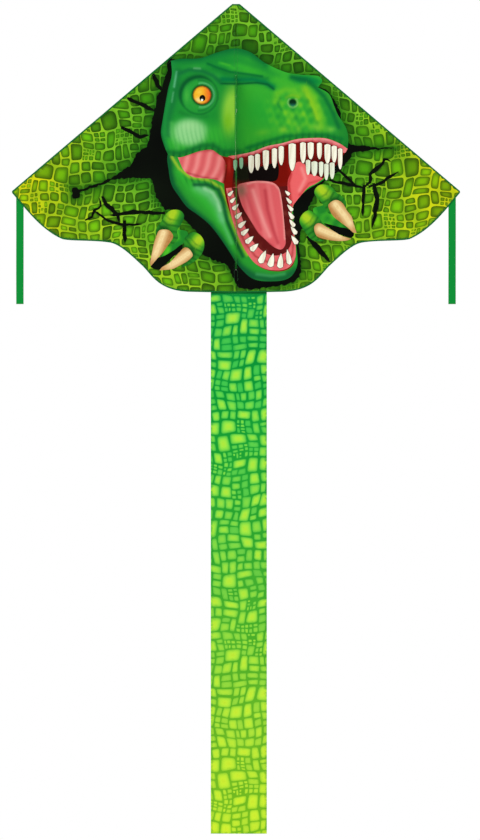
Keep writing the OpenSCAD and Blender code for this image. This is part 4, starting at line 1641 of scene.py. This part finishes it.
def tow_patch(name, side, looks):
    """A reinforcing patch on one side of the tow point, stitched round its edge."""
    edge = resample(keel_outline(), 3.0)
    near = edge[np.linalg.norm(edge - TOW, axis=1) < PATCH_REACH]
    a, b = near[-1] - TOW, near[0] - TOW
    first, last = math.atan2(a[1], a[0]), math.atan2(b[1], b[0])
    while last < first:
        last += 2 * math.pi
    inner_edge = arc(TOW, PATCH_REACH, np.linspace(first, last, 20)[1:-1])
    loop = inset(np.concatenate([near, inner_edge]), 0.5)
    cloth = keel_layer(name, loop, 5.0, 2.5, looks["binding"], (14, 84, 36), side * 0.9)
    sewn = inset(loop, 3.0)
    outer_row = keel_stitches(np.concatenate([sewn, sewn[:1]]), side * 1.12)
    circle = arc(TOW, 12.5, np.linspace(0, 2 * math.pi, 29))
    inner_row = stitch_row(on_keel(circle[:, 0], circle[:, 1], np.full(29, side * 1.12)))
    threads = piece(name + "_thread", [(*row, looks["thread"]) for row in (outer_row, inner_row)])
    return cloth, threads


# ---------------------------------------------------------------- tail and streamers

TAIL_LOW, TAIL_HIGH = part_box("tail_panel")
TAIL_TOP = (NOSE_Z - TAIL_HIGH.z) / MM
TAIL_END = (NOSE_Z - TAIL_LOW.z) / MM
TAIL_LEFT, TAIL_RIGHT = TAIL_LOW.x / MM, TAIL_HIGH.x / MM
TAIL_REPEAT = 903
TAIL_HEM = 6.0

TAIL_DARK = (
    (0.0, rgb(0, 138, 58)), (0.2, rgb(6, 148, 52)), (0.5, rgb(52, 164, 44)),
    (0.8, rgb(100, 178, 36)), (1.0, rgb(122, 188, 30)),
)
TAIL_MID = (
    (0.0, rgb(52, 182, 78)), (0.2, rgb(66, 196, 78)), (0.5, rgb(102, 199, 70)),
    (0.8, rgb(160, 218, 60)), (1.0, rgb(184, 226, 52)),
)
TAIL_LIGHT = (
    (0.0, rgb(152, 229, 78)), (0.2, rgb(150, 232, 75)), (0.5, rgb(166, 233, 70)),
    (0.8, rgb(196, 240, 60)), (1.0, rgb(214, 245, 52)),
)


def down_tail(v):
    """0 at the tail's top and 1 at its foot."""
    return (v - TAIL_TOP) / (TAIL_END - TAIL_TOP)


def tail_ground_paint(p, depth, tint):
    t = down_tail(p[:, 1])
    return mix(ramp(t, TAIL_DARK), ramp(t, TAIL_MID), 0.04 + 0.12 * ripple(p, 30, 4))


def tail_scale_paint(p, depth, tint):
    """A tail scale: its middle glows when the tint says that it is a big one."""
    t = down_tail(p[:, 1])
    rim = mix(ramp(t, TAIL_DARK), ramp(t, TAIL_MID), 0.6)
    glow = mix(ramp(t, TAIL_MID), ramp(t, TAIL_LIGHT), np.clip(0.3 + tint, 0, 1.15))
    base = mix(rim, glow, depth * 2.2)
    warm = np.clip(depth * 2.4 - 1.2, 0, 1) * np.clip(tint + 0.2, 0, 1)
    return mix(base, rgb(204, 218, 42), 0.45 * warm)


def tail_relief(u, v):
    """A light cloth hanging free: long ripples that grow towards the foot."""
    t = np.clip(down_tail(v), 0, 1)
    x = (u - (TAIL_LEFT + TAIL_RIGHT) / 2) / 75
    sway = 3.2 * np.sin(v / 118 + 0.5) + 1.3 * np.sin(v / 41 + 2.1 * x)
    cup = 1.4 * x * x * np.sin(v / 160)
    return np.clip(t * 9, 0, 1) * (sway + cup) * 0.9


def tail_print():
    """The tail's scales: one repeat of the print, used as often as the length needs."""
    rng = random.Random(33)
    found = []
    blocks(rng, TAIL_LEFT - 16, 0, TAIL_RIGHT + 14, TAIL_REPEAT, 27, 52, found)
    shapes, points, depth = [], [], []
    made = [(*cell(rng, block, 3.8), block, rng.uniform(-0.35, 0.25)) for block in found]
    repeats = math.ceil((TAIL_END - TAIL_TOP) / TAIL_REPEAT)
    for k in range(repeats):
        shift = np.array([0, TAIL_TOP + k * TAIL_REPEAT])
        for outline, inner, deep, block, tint in made:
            size = math.sqrt((block[2] - block[0]) * (block[3] - block[1]))
            glow = np.clip((size - 22) / 13, 0, 1.1) + tint
            shapes.append(Shape(outline + shift, tail_scale_paint, float(glow)))
            points.append(inner + shift)
            depth.append(deep)
    return shapes, np.concatenate(points), np.concatenate(depth)


def tail_cloth(looks):
    """The printed tail."""
    box = [(TAIL_LEFT, TAIL_TOP), (TAIL_RIGHT, TAIL_TOP), (TAIL_RIGHT, TAIL_END), (TAIL_LEFT, TAIL_END)]
    loop = np.concatenate([resample([a, b], 10)[:-1] for a, b in zip(box, box[1:] + box[:1])])
    shapes, points, depth = tail_print()
    ground = Shape(loop, tail_ground_paint)
    flat, corners, top, deep, used = triangulate(loop, [ground] + shapes, points, depth)
    colours = paint(flat, corners, top, deep, used, rgb(60, 160, 50))
    materials = [looks["print"], looks["print_back"]]
    return solid_sheet("tail_cloth", flat, corners, on_sail, tail_relief, materials, colours)


def tail_hem(name, a, b, inwards, looks):
    """One folded hem of the tail with a stitch line."""
    line = resample([a, b], 5.0)
    across = np.tile(inwards, (len(line), 1))
    parts = [(*cloth_grid(hem_grid(line, across, TAIL_HEM, tail_relief)), looks["tail_hem"])]
    sewn = line + across * (TAIL_HEM - 1.4)
    parts += [(*row, looks["thread"]) for row in seam(sewn, tail_relief)]
    return piece(name, parts)


def tail_header(looks):
    """The doubled band that sews the tail to the sail's foot."""
    rows = []
    for d in np.arange(TAIL_TOP - 9, TAIL_TOP + 23, 1.6):
        xs = np.linspace(TAIL_LEFT, TAIL_RIGHT, 31)
        lift = tail_relief(xs, np.full(31, d)) + 0.95 + 0.10 * np.sin(xs / 4.3) * math.sin(d / 5)
        rows.append(on_sail(xs, np.full(31, d), lift))
    parts = [(*cloth_grid(np.stack(rows)), looks["trim"])]
    for d in (TAIL_TOP - 6, TAIL_TOP + 3, TAIL_TOP + 20):
        line = straight_line((TAIL_LEFT + 2, d), (TAIL_RIGHT - 2, d), 60)
        parts += [(*row, looks["thread"]) for row in seam(line, tail_relief, 1.25)]
    return piece("tail_header_band", parts)


def streamer(side, looks):
    """A ribbon sewn behind the wing tip, hanging with a slight twist."""
    name = SIDE_NAMES[side]
    tab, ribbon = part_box(name + "_streamer_tab"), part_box(name + "_streamer")
    x0, x1 = ribbon[0].x / MM, ribbon[1].x / MM
    top, end = (NOSE_Z - tab[1].z) / MM, (NOSE_Z - ribbon[0].z) / MM
    lift0 = ((tab[0].y + tab[1].y) / 2 - SAIL_Y) / MM
    rows = []
    for d in np.arange(top, end + 0.1, 4.0):
        free = min(1.0, max(0.0, (d - 530) / 120))
        t = np.linspace(-1, 1, 9)
        xs = (x0 + x1) / 2 + t * (x1 - x0) / 2 * (1 - 0.01 * free)
        sway = free * (1.8 * math.sin(d / 60 + side) + 1.0 * t * math.sin(d / 48) + 0.7 * t * t)
        rows.append(on_sail(xs, np.full(9, d), lift0 + sway))
    parts = [(*cloth_grid(np.stack(rows), 0.3), looks["ribbon"])]
    for d in (top + 4, top + 9):
        line = straight_line((x0 + 2, d), (x1 - 2, d), 12)
        parts.append((*seam(line, flat_relief, lift0 + 0.22)[0], looks["thread"]))
    return piece(name + "_streamer_ribbon", parts)


# ---------------------------------------------------------------- putting it together


def all_looks():
    """Every material by its short name."""
    return {
        "print": cloth_look("printed_polyester"),
        "print_back": cloth_look("printed_polyester_back", faded=0.38, rough=0.7),
        "keel": cloth_look("keel_polyester", KEEL_WHITE),
        "trim": cloth_look("green_trim", (14, 96, 40), rough=0.66),
        "binding": cloth_look("green_binding", (46, 152, 54), rough=0.66),
        "tail_hem": cloth_look("tail_hem_polyester", (84, 176, 60)),
        "ribbon": cloth_look("green_ribbon", (10, 138, 54), rough=0.5, sheen=0.05),
        "pocket": cloth_look("pocket_webbing", (16, 30, 18), rough=0.75),
        "thread": thread_look("green_thread", (30, 120, 50)),
        "dark_thread": thread_look("dark_thread", (26, 40, 28)),
        "rod": fibreglass_look(),
        "vinyl": plastic_look("black_vinyl", (26, 27, 28)),
        "cap": plastic_look("rubber_cap", (20, 21, 20), 0.6, 700),
        "metal": metal_look(),
    }


def dress_cad_nodes(looks):
    """The rods and fittings keep their CAD shape and get a real finish."""
    rule = (
        ("rod", "rod"), ("cap", "cap"), ("connector", "vinyl"), ("stops", "vinyl"),
        ("tow_eyelet", "metal"), ("tow_washer", "metal"),
    )
    for node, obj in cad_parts.items():
        for word, look in rule:
            if word in node:
                obj.data.materials.clear()
                obj.data.materials.append(looks[look])
                break


def wing_cloth(obj, node):
    """A wing's cloth, baked into place; its CAD node is hidden."""
    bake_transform(obj)
    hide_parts(node)


def make_wing(side, looks, print_parts):
    """One wing's sail, hems, sleeves and tip pocket, and its half of the centre tube."""
    name = SIDE_NAMES[side]
    trim, thread = looks["trim"], looks["thread"]
    materials = [looks["print"], looks["print_back"]]
    sail = sail_half(name + "_sail_cloth", side, print_parts, materials)
    wing_cloth(sail, name + "_sail")

    trailing_hem = hem(name + "_trailing_hem_cloth", trailing_line(side), trim, thread, sail_relief)
    wing_cloth(trailing_hem, name + "_trailing_hem")
    line = leading_point(np.arange(NOSE_HEM_SPAN[0], NOSE_HEM_SPAN[1] + 0.1, 3.0), 0.3, side)
    nose_hem = hem(name + "_nose_hem_cloth", line, trim, thread, flat_relief)
    wing_cloth(nose_hem, name + "_nose_hem")

    upper = sleeve(name + "_sleeve_upper_cloth", side, SLEEVE_UPPER_SPAN, trim, thread)
    wing_cloth(upper, name + "_sleeve_upper")
    lower = sleeve(name + "_sleeve_lower_cloth", side, SLEEVE_LOWER_SPAN, trim, thread)
    wing_cloth(lower, name + "_sleeve_lower")
    heavy = looks["pocket"], looks["dark_thread"]
    pocket = sleeve(name + "_tip_pocket_cloth", side, TIP_POCKET_SPAN, *heavy, closed=True)
    wing_cloth(pocket, name + "_tip_pocket")

    tube = centre_tube_half(name + "_centre_tube_half", side, looks["vinyl"])
    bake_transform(tube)
    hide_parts("centre_tube")


def make_streamer(side, looks):
    """One ribbon, which hangs and sways below the wing tip, in place of its CAD tab and ribbon."""
    name = SIDE_NAMES[side]
    ribbon = streamer(side, looks)
    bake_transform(ribbon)
    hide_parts(name + "_streamer_tab", name + "_streamer")


def make_spine(looks):
    """The spine's sleeve and pockets and the strap of the centre tube."""
    heavy = looks["pocket"], looks["dark_thread"]
    for obj, node, slot in (
        (spine_sleeve(looks["trim"], looks["thread"]), "spine_sleeve", "sail_trim"),
        (spine_pocket("nose_pocket_cloth", NOSE_POCKET_SPAN, 0, *heavy), "nose_pocket", "pocket_cloth"),
        (spine_pocket("foot_pocket_cloth", FOOT_POCKET_SPAN, 1, *heavy), "foot_pocket", "pocket_cloth"),
        (tie_strap(*heavy), "centre_tie", "sail_trim"),
    ):
        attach(obj, "frame")
        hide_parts(node)


def make_keel(looks):
    """The keel's cloth and binding, and its patches, which are parented to the keel's body."""
    panel = keel_panel(looks)
    binding = folded_binding(looks)
    patches = [tow_patch("tow_patch_left_cloth", -1, looks), tow_patch("tow_patch_right_cloth", 1, looks)]
    for obj in (panel, binding):
        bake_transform(obj)
    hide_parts("keel_panel")
    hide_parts("keel_binding")
    for (patch, threads), node in zip(patches, ("tow_patch_left", "tow_patch_right")):
        for obj in (patch, threads):
            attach(obj, "keel")
        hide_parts(node)


def make_tail(looks):
    """The tail's cloth, header and hems, in place of their CAD nodes."""
    cloth = tail_cloth(looks)
    header = tail_header(looks)
    top, foot = TAIL_TOP + 23, TAIL_END - TAIL_HEM
    hems = [
        tail_hem("tail_hem_left_cloth", (TAIL_LEFT, top), (TAIL_LEFT, foot), (1, 0), looks),
        tail_hem("tail_hem_right_cloth", (TAIL_RIGHT, top), (TAIL_RIGHT, foot), (-1, 0), looks),
        tail_hem("tail_foot_hem_cloth", (TAIL_LEFT, TAIL_END), (TAIL_RIGHT, TAIL_END), (0, -1), looks),
    ]
    nodes = ("tail_panel", "tail_header", "tail_hem_left", "tail_hem_right", "tail_foot_hem")
    slots = ("printed_tail", "sail_trim", "printed_tail", "printed_tail", "printed_tail")
    for obj, node, slot in zip([cloth, header] + hems, nodes, slots):
        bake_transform(obj)
        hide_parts(node)


def make_floor():
    """A pale studio floor well below the tail."""
    place = (0, 0.1, CAD_BOX[0][2] - 0.35)
    bpy.ops.mesh.primitive_grid_add(x_subdivisions=8, y_subdivisions=8, size=2.6, location=place)
    floor = bpy.context.object
    floor.name = "studio_floor"
    floor.data.materials.append(floor_look())


def make_lights():
    """An even white studio with one large soft light from the upper left."""
    world = bpy.data.worlds.new("studio")
    bpy.context.scene.world = world
    world.use_nodes = True
    world.node_tree.nodes["Background"].inputs["Color"].default_value = (1, 1, 1, 1)
    world.node_tree.nodes["Background"].inputs["Strength"].default_value = 1.0
    data = bpy.data.lights.new("soft_key", "AREA")
    data.energy = 60
    data.size = 3.0
    key = in_scene("soft_key", data)
    key.location = (-2.6, -4.2, 2.2)
    aim = Vector((0, SAIL_Y, -0.4)) - key.location
    key.rotation_euler = aim.to_track_quat("-Z", "Y").to_euler()
    bpy.context.scene.view_settings.view_transform = "Standard"


def make_camera():
    """Square in front of the sail, far off, so that the flat kite is seen flat."""
    distance = 9.0
    seen_height = 2.2504
    photo_shift = (0.0107, -0.003)
    data = bpy.data.cameras.new("camera")
    data.sensor_width = 36
    data.lens = data.sensor_width * distance / seen_height
    data.clip_end = 60
    camera = in_scene("camera", data)
    middle = (CAD_BOX[0][2] + CAD_BOX[1][2]) / 2
    camera.location = (photo_shift[0], SAIL_Y - distance, middle + photo_shift[1])
    camera.rotation_euler = (math.pi / 2, 0, 0)
    bpy.context.scene.camera = camera


def build():
    """The whole kite and its studio."""
    looks = all_looks()
    make_camera()
    make_lights()
    make_floor()
    print_parts = sail_print()
    for side in (-1, 1):
        make_wing(side, looks, print_parts)
    for side in (-1, 1):
        make_streamer(side, looks)
    make_spine(looks)
    make_keel(looks)
    make_tail(looks)
    dress_cad_nodes(looks)


build()
